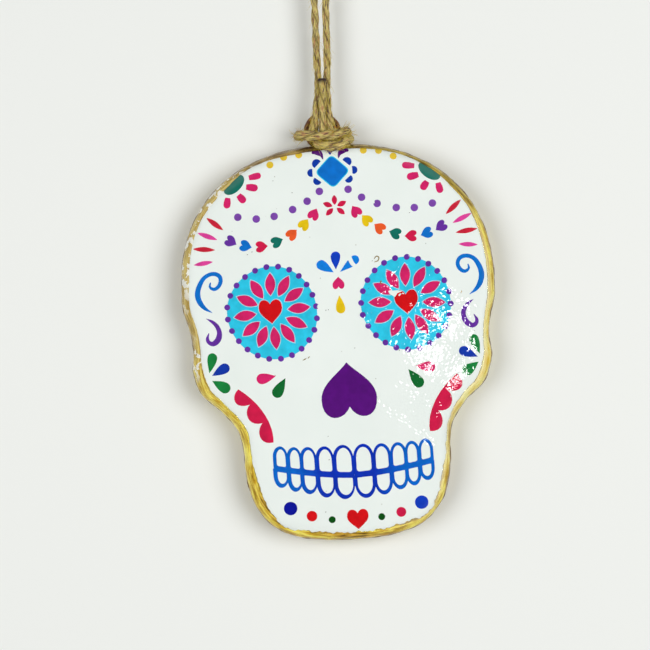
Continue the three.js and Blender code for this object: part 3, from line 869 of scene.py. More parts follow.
ORANGE = printed_ink("orange_ink", "#ee5c28")
PINK = printed_ink("pink_ink", "#e0409a")
PALE = printed_ink("pale_edge_ink", "#a8dcec")
DIRT = printed_ink("brown_dirt", "#8a7430")
SOOT = printed_ink("dark_dust", "#4c4a3a")


# Camera, wall and light

def place_camera():
    data = bpy.data.cameras.new("camera")
    data.sensor_width = SENSOR_WIDTH
    data.lens = SENSOR_WIDTH * (CAMERA_DISTANCE - MEASURED_DEPTH) / (PICTURE_PIXELS / PIXELS_PER_MM)
    camera = bpy.data.objects.new("camera", data)
    bpy.context.scene.collection.objects.link(camera)
    cos, sin = math.cos(CAMERA_ROLL), math.sin(CAMERA_ROLL)
    turned = Matrix(((cos, sin, 0), (0, 0, -1), (-sin, cos, 0)))
    across, up = PICTURE_MIDDLE
    camera.matrix_world = Matrix.Translation(Vector((across, -CAMERA_DISTANCE, up)) * MM) @ turned.to_4x4()
    bpy.context.scene.camera = camera
    bpy.context.scene.view_settings.view_transform = "Standard"


def hang_wall():
    turns = ((-1, -1), (1, -1), (1, 1), (-1, 1))
    corners = [(across * WALL_REACH, WALL_BEHIND, up * WALL_REACH) for across, up in turns]
    wall = make_piece("wall", corners, [(0, 1, 2, 3)], matt_pale_card(), smooth=False)


def area_light(name, size, power, place, mirrored_in_gloss):
    data = bpy.data.lights.new(name, "AREA")
    data.shape = "DISK"
    data.size = size
    data.energy = power
    lamp = bpy.data.objects.new(name, data)
    bpy.context.scene.collection.objects.link(lamp)
    lamp.location = place
    lamp.rotation_euler = (Vector(LIT_MIDDLE) - Vector(place)).to_track_quat("-Z", "Y").to_euler()
    lamp.visible_glossy = mirrored_in_gloss


def light_room():
    """A pale room, darker behind the camera, which gilding and lacquer mirror; its light itself is low."""
    world = bpy.data.worlds.new("studio")
    bpy.context.scene.world = world
    world.use_nodes = True
    tree = world.node_tree
    outlook = add(tree, "TexCoord", output="Generated")
    behind_camera = add(tree, "SeparateXYZ", {0: outlook}, "Y")
    mirrored = add(tree, "MapRange", {0: behind_camera, 1: -0.97, 2: -0.6, 3: 0.1, 4: 0.95})
    camera_ray = add(tree, "LightPath", output="Is Camera Ray")
    glossy_ray = camera_ray.node.outputs["Is Glossy Ray"]
    seen = add(tree, "Math", {0: camera_ray, 1: 0.92}, operation="MULTIPLY")
    in_gloss = add(tree, "Math", {0: glossy_ray, 1: mirrored}, operation="MULTIPLY")
    shown = add(tree, "Math", {0: seen, 1: in_gloss}, operation="MAXIMUM")
    strength = add(tree, "Math", {0: shown, 1: 0.15}, operation="MAXIMUM")
    feed(tree.nodes["Background"], {"Color": linear("#ffffff"), "Strength": strength})


def light_scene():
    light_room()
    area_light("right_softbox", size=0.8, power=8.5, place=(0.64, -1, -0.1), mirrored_in_gloss=False)
    area_light("left_softbox", size=0.8, power=6.9, place=(-0.66, -1, -0.12), mirrored_in_gloss=False)
    area_light("near_lamp", size=0.05, power=0.2, place=(0.139, -0.85, -0.139), mirrored_in_gloss=True)


# Skull pieces

# Width of the leaf on the rim, each at its share of the way round clockwise from the crown
GILT_WIDTHS = [
    (0.0, 1.6), (0.03, 1.2), (0.062, 0.9), (0.081, 1.2), (0.1, 1.45), (0.118, 1.95), (0.138, 1.8),
    (0.155, 2.1), (0.173, 2.25), (0.21, 2.35), (0.223, 2.4), (0.237, 1.95), (0.256, 1.85), (0.275, 2.75),
    (0.291, 2.9), (0.311, 2.35), (0.331, 2.0), (0.342, 1.4), (0.354, 1.3), (0.367, 1.4), (0.386, 2.6),
    (0.4, 2.3), (0.412, 2.05), (0.423, 1.3), (0.431, 1.45), (0.443, 2.6), (0.459, 2.65), (0.475, 2.4),
    (0.507, 2.2), (0.521, 2.5), (0.542, 2.45), (0.558, 1.4), (0.577, 2.65), (0.597, 3.4), (0.615, 3.4),
    (0.632, 2.5), (0.641, 2.2), (0.655, 2.7), (0.669, 2.6), (0.68, 2.25), (0.692, 2.85), (0.712, 3.3),
    (0.732, 3.05), (0.74, 2.2), (0.764, 2.25), (0.792, 2.25), (0.804, 2.5), (0.822, 2.3), (0.86, 1.9),
    (0.877, 2.15), (0.898, 2.15), (0.921, 1.25), (0.941, 1.3), (0.965, 1.8),
]


def white_face():
    """The film, with its rings close together where the tin rolls over to the seam."""
    insets = [FILM_INSET + 0.1 * step + 0.0085 * step**2 for step in range(18)]
    shares = [1 - step / 22 for step in range(1, 22)]
    rings, middle = sheet_rings(insets, SHEET_POINTS, shares)
    points, faces = closed_sheet(rings, middle, FILM_TOP, FILM_UNDERSIDE)
    film = make_piece("printed_film", points, faces, WHITE)
    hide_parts("white_face")
    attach(film, "skull")


def pressed_half(name, node, side):
    insets = [0.9, 0.92, 1.0, 1.15, 1.4, 1.75, 2.2, 2.8, 3.5, 4.2, 4.9]
    shares = [1 - step / 12 for step in range(1, 12)]
    rings, middle = sheet_rings(insets, SHEET_POINTS, shares)
    points, faces = closed_sheet(rings, middle, 0, -SHEET_THICKNESS, side)
    half = make_piece(name, points, faces, GILT)
    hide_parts(node)
    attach(half, "skull")


def closed_band(outer_rings, inner_rings):
    """A closed band from rings of points over its outside, then back along its underside."""
    rings = [*outer_rings, *inner_rings[::-1]]
    count = len(rings[0])
    faces = []
    for ring in range(len(rings)):
        following = (ring + 1) % len(rings)
        faces += ring_faces(ring * count, following * count, count)
    return np.vstack(rings), faces


def gilt_width(share):
    """Width of the leaf, softened between its given widths and then ragged, most so along the chin."""
    knots = [*GILT_WIDTHS, (1.0, GILT_WIDTHS[0][1])]
    width = np.interp(share, [at for at, _ in knots], [wide for _, wide in knots])
    kernel = np.hanning(19) / np.hanning(19).sum()
    width = np.convolve(np.concatenate([width[-9:], width, width[:9]]), kernel, "valid")
    turn = 2 * math.pi * share
    ragged = 0.1 * np.sin(61 * turn + 1) + 0.08 * np.sin(113 * turn + 2.2) + 0.06 * np.sin(203 * turn)
    along_chin = np.exp(-(((share - 0.48) / 0.12) ** 2))
    return width + ragged * (0.25 + 1.6 * along_chin)


def gilt_border():
    """Leaf laid over the print's edge and down to the seam; its inner edge is ragged."""
    count = RIM_POINTS
    share = np.arange(count) / count
    turn = 2 * math.pi * share
    shown = inset_edge(gilt_width(share), count)[0]
    reach = distance_from_edge(foot_of(shown, GILT_TOP))[0]
    reach = np.maximum(reach, 0.25)
    outside, underside = [], []
    steps = np.linspace(0, 1, 14)
    for step in steps:
        flat = inset_edge(SHELL_INSET + 0.03 + reach * step**1.4, count)[0]
        swell = 0.05 * np.sin(37 * turn + 3 * step) + 0.04 * np.sin(83 * turn + 5 * step)
        top = GILT_TOP + swell * (1 - step) - 0.1 * step**6
        outside.append(on_skull(flat, top))
        underside.append(on_skull(flat, GILT_TOP - GILT_DEPTH - 0.12 * (1 - step)))
    points, faces = closed_band(outside, underside)
    border = make_piece("gilt_border", points, faces, GILT_RIM)
    around = line_length(SHELL_EDGE) * share
    rim = [np.column_stack([around, step**1.4 * reach, np.full(count, step)]) for step in steps]
    attribute = border.data.attributes.new("rim", "FLOAT_VECTOR", "POINT")
    attribute.data.foreach_set("vector", np.vstack([*rim, *rim[::-1]]).astype(np.float32).ravel())
    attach(border, "skull")


def brazed_edge():
    """A rounded bead of braze all round, filed by hand so that it isn't quite even."""
    count, around = 1080, 14
    turn = 2 * math.pi * np.arange(count) / count
    uneven = 0.06 * np.sin(29 * turn) + 0.05 * np.sin(53 * turn + 1) + 0.03 * np.sin(97 * turn + 2)
    rings = []
    for i in range(around):
        angle = 2 * math.pi * i / around
        inset = BRAZE_INSET + 0.04 * uneven - (BRAZE_HALF_WIDTH - uneven * 0.8) * math.cos(angle)
        flat = inset_edge(inset, count)[0]
        depth = (BRAZE_HALF_DEPTH + uneven) * math.sin(angle)
        rings.append(np.column_stack([flat[:, 0], -depth, flat[:, 1]]))
    points, faces = closed_band(rings, [])
    bead = make_piece("brazed_edge", points, faces, BRAZE)
    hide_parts("seam_braze")
    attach(bead, "skull")


# Printed motifs, in print millimetres; a pair is given by its right-hand one

EYE_ACROSS = 20.25
EYE_UP = -7.9
EYE_RADIUS = 13.6
EYE_STRETCH = 1.035
EYE_SHIFT = -0.2
BEAD_RING = 13.45
BEAD_RADIUS = 0.9
BEADS = 24
BEAD_START = 4.3

# Petals by length and width, and the places of all twelve; the heart by width and height
PETAL = (6.8, 3.05)
PETAL_EDGE = (7.5, 3.5)
PETAL_RING = 8.15
PETAL_TURNS = [2.4, 31.8, 60.4, 89.8, 121.4, 153.8, 185.3, 214.8, 242.6, 270.2, 300.4, 331.6]
EYE_HEART = (7.05, 7.4)
EYE_HEART_EDGE = (7.5, 7.9)

# Teeth of the right half: middle, half width, top and bottom of each column
TOOTH_COLUMNS = [
    (2.98, 2.46, -50.0, -64.8), (8.55, 2.1, -50.15, -64.05), (13.55, 1.85, -50.1, -62.75),
    (17.77, 1.6, -49.9, -61.8), (21.9, 1.55, -49.45, -60.4),
]
TEETH_SHIFT = 0.1
TEETH_TILT = 0.019

# Band between the two rows of teeth: its height in the middle, and its rise at the last column
BAND_MIDDLE = -58.5
BAND_RISE = 2.8

BROW_UP = 33.45


def eye_ground(side, word):
    """The blue disc of an eye and the ring of beads on its edge."""
    centre = side * EYE_ACROSS + EYE_SHIFT
    ground = moved(disc(0, 0, EYE_RADIUS, 96) * (1, EYE_STRETCH), centre, EYE_UP)
    sky = ink_piece(f"eye_ground_{word}", [ground], 0, SKY_BLUE)
    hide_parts(f"eye_disc_{word}")
    beads = []
    for i in range(BEADS):
        turn = 360 / BEADS * i + BEAD_START
        angle = math.radians(180 - turn if side > 0 else turn)
        ring = BEAD_RING + 0.12 * math.sin(5.3 * i)
        across = centre + ring * math.cos(angle)
        up = EYE_UP + ring * EYE_STRETCH * math.sin(angle)
        beads.append(disc(across, up, BEAD_RADIUS, 20))
    ink_piece(f"eye_beads_{word}", beads, 1, PURPLE)


def eye_petals(side, word):
    """Twelve petals with pale edges, a little uneven in their places as they are printed."""
    petals, edges = [], []
    for turn in PETAL_TURNS:
        angle = math.radians(180 - turn if side > 0 else turn)
        reach = PETAL_RING + 0.22 * math.sin(2 * angle + 0.6)
        across = side * (EYE_ACROSS + 0.2) + 0.99 * reach * math.cos(angle)
        up = EYE_UP + 0.5 + 1.02 * reach * math.sin(angle)
        petals.append(moved(petal(*PETAL), across, up, angle))
        edges.append(moved(petal(*PETAL_EDGE), across, up, angle))
    ink_piece(f"petal_edges_{word}", edges, 0.5, PALE, steps=(0, 0.15, 0.3))
    leaves = ink_piece(f"eye_rosette_{word}", petals, 1, MAGENTA, steps=(0, 0.15, 0.3))
    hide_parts(f"eye_petals_{word}")


def eye_heart(side, word):
    """The red heart over the petals, with its pale edge."""
    at = (side * 20.55 - 0.25, -7.5)
    ink_piece(f"heart_edge_{word}", [moved(heart(*EYE_HEART_EDGE), *at)], 1.5, PALE)
    middle = ink_piece(f"heart_{word}", [moved(heart(*EYE_HEART), *at)], 2, RED)
    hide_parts(f"eye_heart_{word}")


def eyes():
    for side, word in ((-1, "left"), (1, "right")):
        eye_ground(side, word)
        eye_petals(side, word)
        eye_heart(side, word)


def band_height(across):
    """The band between the two rows of teeth, arched up towards the sides."""
    return BAND_MIDDLE + BAND_RISE * np.abs(across / TOOTH_COLUMNS[-1][0]) ** 1.6


def tooth(centre, half, root, crown, root_corner, crown_share):
    """A cell with a rounded crown; its root follows the arched band between the rows."""
    height = crown - root
    rounded = crown_share * abs(height)
    direction = math.copysign(1, height)
    turns = np.linspace(0, math.pi, 19)
    corner = np.linspace(-math.pi / 2, 0, 5)
    crown_arc = np.column_stack([
        centre + half * np.cos(turns),
        crown - direction * rounded * (1 - np.sin(turns)),
    ])
    right = np.column_stack([
        centre + half - root_corner * (1 - np.cos(corner)),
        root + direction * root_corner * (1 + np.sin(corner)),
    ])
    left = (right * (-1, 1) + (2 * centre, 0))[::-1]
    points = np.vstack([right, crown_arc[1:-1], left])
    share = 1 - np.clip((points[:, 1] - root) / height, 0, 1)
    points[:, 1] += share * (band_height(points[:, 0]) - band_height(centre))
    points[:, 1] -= TEETH_TILT * points[:, 0]
    return points


def teeth():
    """Two rows of outlined teeth: each outline is a wider tooth with its white cell left open."""
    outlines, cells = [], []
    for middle, half, top, bottom in TOOTH_COLUMNS:
        for side in (-1, 1):
            centre = TEETH_SHIFT + side * middle
            band = float(band_height(centre))
            lean = -0.35 if side < 0 else 0.06
            cells.append(tooth(centre, half - 0.2, band + 0.9, top - 0.2, 0.7 * half / 2, 0.5))
            outlines.append(tooth(centre + lean / 2, half + 0.72, band - 0.05, top + 0.75, 0.3, 0.5))
            cells.append(tooth(centre, half - 0.2, band - 0.92, bottom + 0.35, 0.25, 0.62))
            outlines.append(tooth(centre + lean, half + 0.78, band + 0.05, bottom - 0.9, 0.3, 0.66))
    row_steps = (0, 0.16, 0, 0.16, 0.32, 0.48, 0.32, 0.48)
    rows = ink_piece("tooth_rows", outlines, 0, TOOTH_BLUE, holes=cells, steps=row_steps)
    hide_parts("teeth_outline")


def quadratic(start, bulge, end, steps=9):
    t = (np.arange(steps) / steps)[:, None]
    start, bulge, end = (np.asarray(point, float) for point in (start, bulge, end))
    return (1 - t)**2 * start + 2 * (1 - t) * t * bulge + t**2 * end


def cheek_scallop():
    tip, first_notch, second_notch, end = (33.1, -30.2), (30, -35.1), (26.65, -40.95), (23.7, -47)
    return np.vstack([
        bezier(tip, (35.6, -32), (35.2, -36.5), first_notch),
        bezier(first_notch, (32.1, -36.9), (31.4, -41.8), second_notch),
        bezier(second_notch, (28.7, -43.1), (28.2, -47.7), end),
        bezier(end, (23.1, -42.2), (26.1, -35.2), tip),
    ])


def cheeks_nose_and_chin():
    for side, word in ((-1, "left"), (1, "right")):
        wing = cheek_scallop() * (side, 1)
        scallop = ink_piece(f"cheek_wing_{word}", [wing], 0, CRIMSON)
        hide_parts(f"cheek_scallop_{word}")
    nose = ink_piece("nose", [moved(heart(16.8, 16.8), 0.1, -32.8, math.pi)], 0, VIOLET)
    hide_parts("nose_heart")
    chin = ink_piece("chin_heart_ink", [moved(heart(6.5, 6.2), 0.1, -72)], 0, RED)
    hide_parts("chin_heart")
    dots = [disc(side * 7.5 - 0.2, -71.66 - 0.012 * side * 7.5, 1.05) for side in (-1, 1)]
    ink_piece("chin_dots_green", dots, 0, DEEPEST_GREEN)
    ink_piece("chin_dot_red", [disc(-13.72, -70.07, 1.6)], 0, RED)
    ink_piece("chin_dot_crimson", [disc(13.31, -70.74, 1.5)], 0, CRIMSON)
    ink_piece("chin_dot_navy", [disc(-20, -67.3, 2.05)], 0, NAVY)
    ink_piece("chin_dot_blue", [disc(19.68, -68.26, 2.05)], 0, ROYAL_BLUE)
    pink = [drop((21.15, -27), (27.05, -27.8), 3.2)]
    ink_piece("cheek_drops_pink", both_sides(pink, -0.3), 0, MAGENTA)
    inner_green = [drop((18.6, -27.8), (22.3, -33.35), 3.3)]
    ink_piece("cheek_drops_green", both_sides(inner_green), 0, DARK_GREEN)
    outer_green = [drop((41, -24.75), (39.2, -18.8), 2.9), drop((40.4, -27.1), (35.3, -30.4), 3.3)]
    ink_piece("temple_drops_green", both_sides(outer_green, -0.4), 0, GREEN)
    blue = [drop((40.3, -25.6), (34.9, -22.9), 3)]
    ink_piece("temple_drops_blue", both_sides(blue, -0.4), 0, BLUE)


def bridge_of_the_nose():
    drops = [drop((-1.1, 2.95), (-6.05, 6.3), 2.9), drop((0.8, 2.95), (6.4, 7.1), 2.8)]
    ink_piece("bridge_drops", drops, 0, AZURE)
    middle = [drop((-0.4, 3.8), (-0.53, 9.2), 2.9)]
    ink_piece("bridge_drop_middle", middle, 0, ROYAL_BLUE)
    ink_piece("bridge_heart", [moved(heart(3.6, 3.8), 0.2, -0.3, math.pi)], 0, MAGENTA)
    ink_piece("bridge_drop_yellow", [drop((0.27, -4.05), (0.32, -9.55), 2.8)], 0, YELLOW)


def rounded_diamond(half_width, half_height, share):
    """A diamond whose corners are rounded over a share of each side."""
    corners = np.array([(0, half_height), (half_width, 0), (0, -half_height), (-half_width, 0)], float)
    rounded = []
    for i, corner in enumerate(corners):
        start = corner + (corners[i - 1] - corner) * share
        end = corner + (corners[(i + 1) % 4] - corner) * share
        rounded += [quadratic(start, corner, end, 6), [end]]
    return np.vstack(rounded)


def brow_stone():
    diamond = moved(rounded_diamond(5, 4.85, 0.22), 0, BROW_UP)
    stone = ink_piece("brow_stone", [diamond], 1, BRIGHT_BLUE)
    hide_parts("brow_diamond")
    edge = (diamond - (0, BROW_UP)) * 1.08 + (0, BROW_UP)
    ink_piece("brow_stone_edge", [edge], 0, SKY_BLUE)


def brow():
    """The blue stone at the top of the forehead, what surrounds it, and the strings of dots."""
    brow_stone()
    half_discs = [
        half_disc(4.6, 36.1, 1.4, math.radians(48), 1.2),
        half_disc(6.4, BROW_UP, 1.2, 0, 1.2),
        half_disc(4.75, 30.9, 1.25, math.radians(-52), 1.2),
    ]
    ink_piece("brow_half_discs", both_sides(half_discs), 0, DEEP_BLUE)
    leaf_line = [(5.2, 39.55), (4.4, 39.6), (3.4, 39.3), (2.75, 38.6), (2.35, 37.4)]
    leaf = stroke(leaf_line, [0.9, 1.6, 1.7, 0.9, 0.25])
    ink_piece("brow_leaves", both_sides([leaf], -0.25), 0, VIOLET)
    ink_piece("brow_tip", [drop((-0.34, 38.45), (-0.27, 41.2), 1.9)], 0, NAVY)
    dots = [disc(*at, 1.05) for at in ((9.8, 39.2), (14.4, 38.8), (18.7, 36.8))]
    ink_piece("rim_dots_yellow", both_sides(dots), 0, YELLOW)
    chain = [(4.35, 27.7), (8.25, 25), (12.8, 22.8), (18.5, 21.15), (23.95, 20.75), (29.5, 21.7)]
    ink_piece("forehead_dots", both_sides([disc(*at, 1.15) for at in chain]), 0, LILAC)


def forehead_garland():
    """A flower in the middle, and from it seven hearts down each side that turn as they go."""
    petals = []
    for turn in (90, 23, 157, -42, 222):
        angle = math.radians(turn)
        petals.append(moved(petal(3.05, 1.6), 2.3 * math.cos(angle), 22.7 + 2.1 * math.sin(angle), angle))
    ink_piece("brow_flower", petals, 0, CRIMSON)
    hearts = [
        ((6.3, 21), 30, "pink", MAGENTA, "ink_magenta"),
        ((9.35, 18.15), 40, "yellow", YELLOW, "ink_yellow"),
        ((13.15, 15.45), 50, "orange", ORANGE, "ink_orange"),
        ((17.8, 13.45), 68, "green", TEAL, "ink_green"),
        ((22.55, 12.3), 88, "red", CRIMSON, "ink_red"),
        ((27.35, 12.8), 108, "blue", BRIGHT_BLUE, "ink_royal_blue"),
        ((31.75, 14.45), 122, "purple", PURPLE, "ink_violet"),
    ]
    for at, turn, word, ink, slot in hearts:
        shape = moved(heart(3.4, 3.7), *at, math.radians(180 + turn))
        ink_piece(f"garland_heart_{word}", both_sides([shape], -0.15), 0, ink)


def rim_flowers():
    """Half flowers that grow in from the rim, high on each side."""
    middle = moved(disc(0, 0, 1, 40) * (3.8, 2.2), 29.65, 31.6, math.radians(-40.5))
    ink_piece("rim_flower_middles", both_sides([middle], -0.35), 0, TEAL)
    petals = [
        blunt_petal((25.1, 33.35), (21.4, 33.9), 2), blunt_petal((26.1, 30.65), (22.6, 30), 2.2),
        blunt_petal((28.6, 28.4), (26.8, 26), 2.2), blunt_petal((31.85, 27.75), (32.5, 24.6), 2.1),
    ]
    ink_piece("rim_flower_petals", both_sides(petals, -0.25), 0, MAGENTA)


def temple_rays():
    red = [ray((33.75, 18.1), (38.6, 22.2), 1.6), ray((36.45, 12.3), (43.2, 13.1), 1.55)]
    pink = [ray((35.65, 15.3), (41.6, 17.9), 1.5), ray((37.2, 8.8), (43.1, 8.2), 1.4)]
    ink_piece("temple_rays_red", both_sides(red, -0.4), 0, RAY_RED)
    ink_piece("temple_rays_pink", both_sides(pink, -0.4), 0, PINK)


def temple_scrolls():
    """A large and a small scroll beside each eye, thin at both ends like a brush stroke."""
    blue_line = [
        (39.05, -6.7), (41.15, -5.2), (42.6, -3.1), (43.05, -0.75), (42.35, 1.8), (40.7, 4.15), (38.3, 5.0),
        (36.5, 4.35), (35.9, 2.85), (36.6, 1.1), (38, 0.3), (39.25, 1.1), (39.05, 2.3),
    ]
    blue_widths = [0.15, 1.05, 1.6, 1.7, 1.55, 1.35, 1.2, 1.25, 1.25, 1.2, 1, 0.4]
    violet_line = [
        (40.4, -8.25), (38.5, -9.5), (37.3, -11.2), (37.0, -13.05), (37.8, -15.0), (39.4, -16.0),
        (40.6, -15.3), (40.8, -14.2), (40.15, -12.67),
    ]
    violet_widths = [0.15, 0.9, 1.3, 1.4, 1.7, 1.7, 1.3, 1.0, 0.2]
    scrolls = [moved(scroll, 0.55, 0.15) for scroll in both_sides([stroke(blue_line, blue_widths)])]
    ink_piece("temple_scrolls_blue", scrolls, 0, BRIGHT_BLUE)
    scrolls = both_sides([stroke(violet_line, violet_widths)])
    ink_piece("temple_scrolls_violet", scrolls, 0, PURPLE)


# Marks of wear

def chip(across, up, length, width, angle, seed):
    """A small ragged patch where the ink has come away or dirt has stuck."""
    chance = random.Random(seed)
    turns = [2 * math.pi * i / 11 for i in range(11)]
    reach = [chance.uniform(0.65, 1.15) for _ in turns]
    ragged = [(length / 2 * r * math.cos(t), width / 2 * r * math.sin(t)) for r, t in zip(reach, turns)]
    return moved(ragged, across, up, math.radians(angle))


def wear():
    """Lost ink showing the white ground, a scratch over the bridge of the nose, and specks of dirt."""
    scratch = stroke([(2.7, 8.8), (3.9, 6.6), (4.6, 5.2), (6.2, 3.7)], [0.9, 1.3, 1.2, 0.7])
    patch = [
        (15.1, -3.8), (15.9, -3.6), (16.6, -3.85), (17.5, -3.8), (19.4, -4.2), (17.8, -4.7), (17, -5.8),
        (16.1, -5.2), (15.4, -4.7),
    ]
    lost = [
        scratch, np.array(patch), chip(-6.3, -7, 1.3, 0.9, 60, 1), chip(9.9, 3.3, 1.6, 0.9, 30, 2),
        chip(18.5, -5.2, 1.3, 0.5, 40, 3), chip(19.6, -4.9, 0.8, 0.4, -30, 4),
        chip(11.9, 23.2, 0.9, 0.35, 80, 5),
    ]
    ink_piece("lost_ink", lost, 3, WHITE, steps=(0, 0.3))
    stuck = [
        chip(13.0, -0.9, 0.9, 0.5, 60, 6), chip(13.2, -1.6, 0.6, 0.4, 10, 7),
        chip(37.1, -5.7, 0.9, 0.5, 70, 8), chip(-12.3, -22.6, 1.6, 0.35, 25, 9),
        chip(-11, -22.1, 0.9, 0.3, 50, 10),
    ]
    ink_piece("stuck_dirt", stuck, 3, DIRT)
    specks = [
        (-27.1, 10.2), (-25.7, 10.9), (-4.2, -8.3), (-3.4, -8.2), (-5.2, 1.5), (9.2, -2.6), (10.6, 5.6),
        (-9, 17.6), (-12.6, 27.9), (22.4, 19.3), (26.9, 9.7), (-31.5, 17.6), (-7.1, -46.3), (-7.3, -53.4),
        (-9.5, -69.1), (16.4, -21.9), (3.1, -20.3), (-18.1, 31.9),
    ]
    dark = [chip(*at, 0.32 + 0.1 * math.sin(i), 0.24, 40 * i, 20 + i) for i, at in enumerate(specks)]
    ink_piece("dark_specks", dark, 0, SOOT)
    curl = stroke([(11.2, 6.2), (11.9, 6.9), (12.6, 6.5), (12.3, 5.5), (11.3, 5.2)], [0.2, 0.3, 0.3, 0.2])
    ink_piece("dark_curl", [curl], 3, DIRT)


# Ring

RING_WIRE = 1.6
RING_MEAN_RADIUS = 4.8
RING_CENTRE = (-2.2, -54)


def wire_ring():
    """A ring bent from wire and a little flat in places; its foot sinks into the braze."""
    around, along = 20, 150
    rings = []
    for i in range(along):
        turn = 2 * math.pi * i / along
        radius = RING_MEAN_RADIUS + 0.06 * math.sin(3 * turn + 1)
        wire = RING_WIRE / 2 * (1 + 0.04 * math.sin(7 * turn) + 0.03 * math.sin(13 * turn + 2))
        section = 2 * math.pi * np.arange(around) / around
        out = radius + wire * np.cos(section)
        rings.append(np.column_stack([
            RING_CENTRE[0] + out * math.cos(turn),
            wire * np.sin(section),
            RING_CENTRE[1] + out * math.sin(turn),
        ]))
    points, faces = closed_band(rings, [])
    ring = make_piece("wire_ring", points, faces, WIRE)
    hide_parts("hanging_ring")
    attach(ring, "skull")


# Twine

LOOP_ROUTE = [
    (-2.45, 0, -19), (-2.4, 0, -16.5), (-2.45, 0, -14), (-2.95, 0, -10.8), (-3.7, 0, -7.4), (-4.05, 0, -4.2),
    (-3.6, 0, -1.4), (-2.1, 0, 0.4), (0, 0, 1), (2.1, 0, 0.4), (3.6, 0, -1.4), (4.05, 0, -4.2),
    (3.4, 0, -7.4), (2.1, 0, -10.8), (1.15, 0, -14), (0.9, 0, -16.5), (0.85, 0, -19),
]
LEFT_END_ROUTE = [
    (-2.6, 0, -33), (-2.55, 0, -35.5), (-2.6, -0.2, -38.5), (-2.85, -0.8, -42), (-3.2, -1.5, -45),
    (-3.7, -2.05, -47.6), (-4.15, -2.15, -50), (-4.5, -1.9, -52), (-4.9, -1.1, -53.5),
    (-4.95, 0, -54.3), (-5.2, 1.3, -54.6), (-6.4, 2.4, -54.8), (-8.2, 1.9, -54.9), (-9.4, 0.4, -54.9),
    (-9.6, -1.4, -54.9), (-8.6, -3.2, -55), (-6.6, -4.2, -55.2), (-4.5, -4.6, -55.4),
    (-2.2, -4.8, -55.5), (0.1, -4.9, -55.4), (2.2, -4.8, -55.1), (4.1, -3.9, -54.8), (5.2, -1.7, -54.6),
    (5.1, 0.4, -54.5), (3.9, 1.8, -54.6), (2.2, 2.3, -54.9), (0.8, 2.1, -55.2), (-0.4, 1.2, -55.4),
    (-0.95, 0, -55.4), (-1.4, -1.3, -54.8), (-1.75, -2.2, -53.4), (-1.85, -2.75, -51.5),
    (-1.9, -3.2, -49), (-1.75, -3.5, -46.5), (-1.5, -3.3, -43.5), (-1.4, -2.7, -40),
    (-1.35, -2.4, -38.2),
]
RIGHT_END_ROUTE = [
    (0.48, 0, -33), (0.3, 0, -35.5), (0.05, -0.2, -38.5), (-0.05, -0.8, -42), (-0.05, -1.5, -45),
    (0, -2, -47.6), (0.2, -2.15, -50), (0.6, -2.3, -52.2), (1.2, -2.5, -54.2), (2.2, -2.8, -56),
    (3.6, -2.9, -57.1), (5, -2.4, -57.2), (5.9, -1, -57), (5.5, 1.2, -57), (3.7, 3, -57.2),
    (1.2, 3.6, -57.3), (-1.2, 3.1, -56.9), (-2.7, 1.7, -56.2), (-3.2, 0, -56.05), (-3.65, -1.7, -56.4),
    (-3.6, -3.5, -57.8), (-2.6, -4.8, -58.4), (-0.6, -5.4, -58.7), (1.6, -5.7, -58.7),
    (3.7, -5.7, -58.3), (5.4, -5, -57.6),
]


def whole_twine():
    """The whole length as it was tied, from one cut end to the other, and where it is parted into pieces."""
    route = [*LEFT_END_ROUTE[::-1], *LOOP_ROUTE, *RIGHT_END_ROUTE]
    traced = smooth_curve(route)
    count = round(line_length(traced) / TWINE_STEP) + 1
    line = evenly(traced, count)
    upper = np.flatnonzero((line[:, 2] > CUT_HEIGHT) & (np.abs(line[:, 1]) < 0.5))
    return line, upper[0], upper[-1]


def carried_frames(line):
    """Sideways directions that don't turn about the line as it bends."""
    along = np.gradient(line, axis=0)
    along /= np.linalg.norm(along, axis=1)[:, None]
    first = np.cross(along[0], (0, 1, 0))
    first /= np.linalg.norm(first)
    normals = [first]
    for direction in along[1:]:
        carried = normals[-1] - direction * np.dot(normals[-1], direction)
        normals.append(carried / np.linalg.norm(carried))
    normals = np.array(normals)
    return normals, np.cross(along, normals)


def fullness(point):
    """The twine is slack and fluffed up where it is wound into the hitch."""
    share = min(1, max(0, (HITCH_TOP - point[2]) / 3))
    return 1 + HITCH_FULLNESS * share * share * (3 - 2 * share)


def capped_tube(rings, count):
    """Faces of a tube whose two end middles follow the points of its rings."""
    faces = []
    for ring in range(rings - 1):
        faces += ring_faces(ring * count, (ring + 1) * count, count)
    first_cap, last_cap = rings * count, rings * count + 1
    last = (rings - 1) * count
    for i in range(count):
        after = (i + 1) % count
        faces.append((after, i, first_cap))
        faces.append((last + i, last + after, last_cap))
    return faces


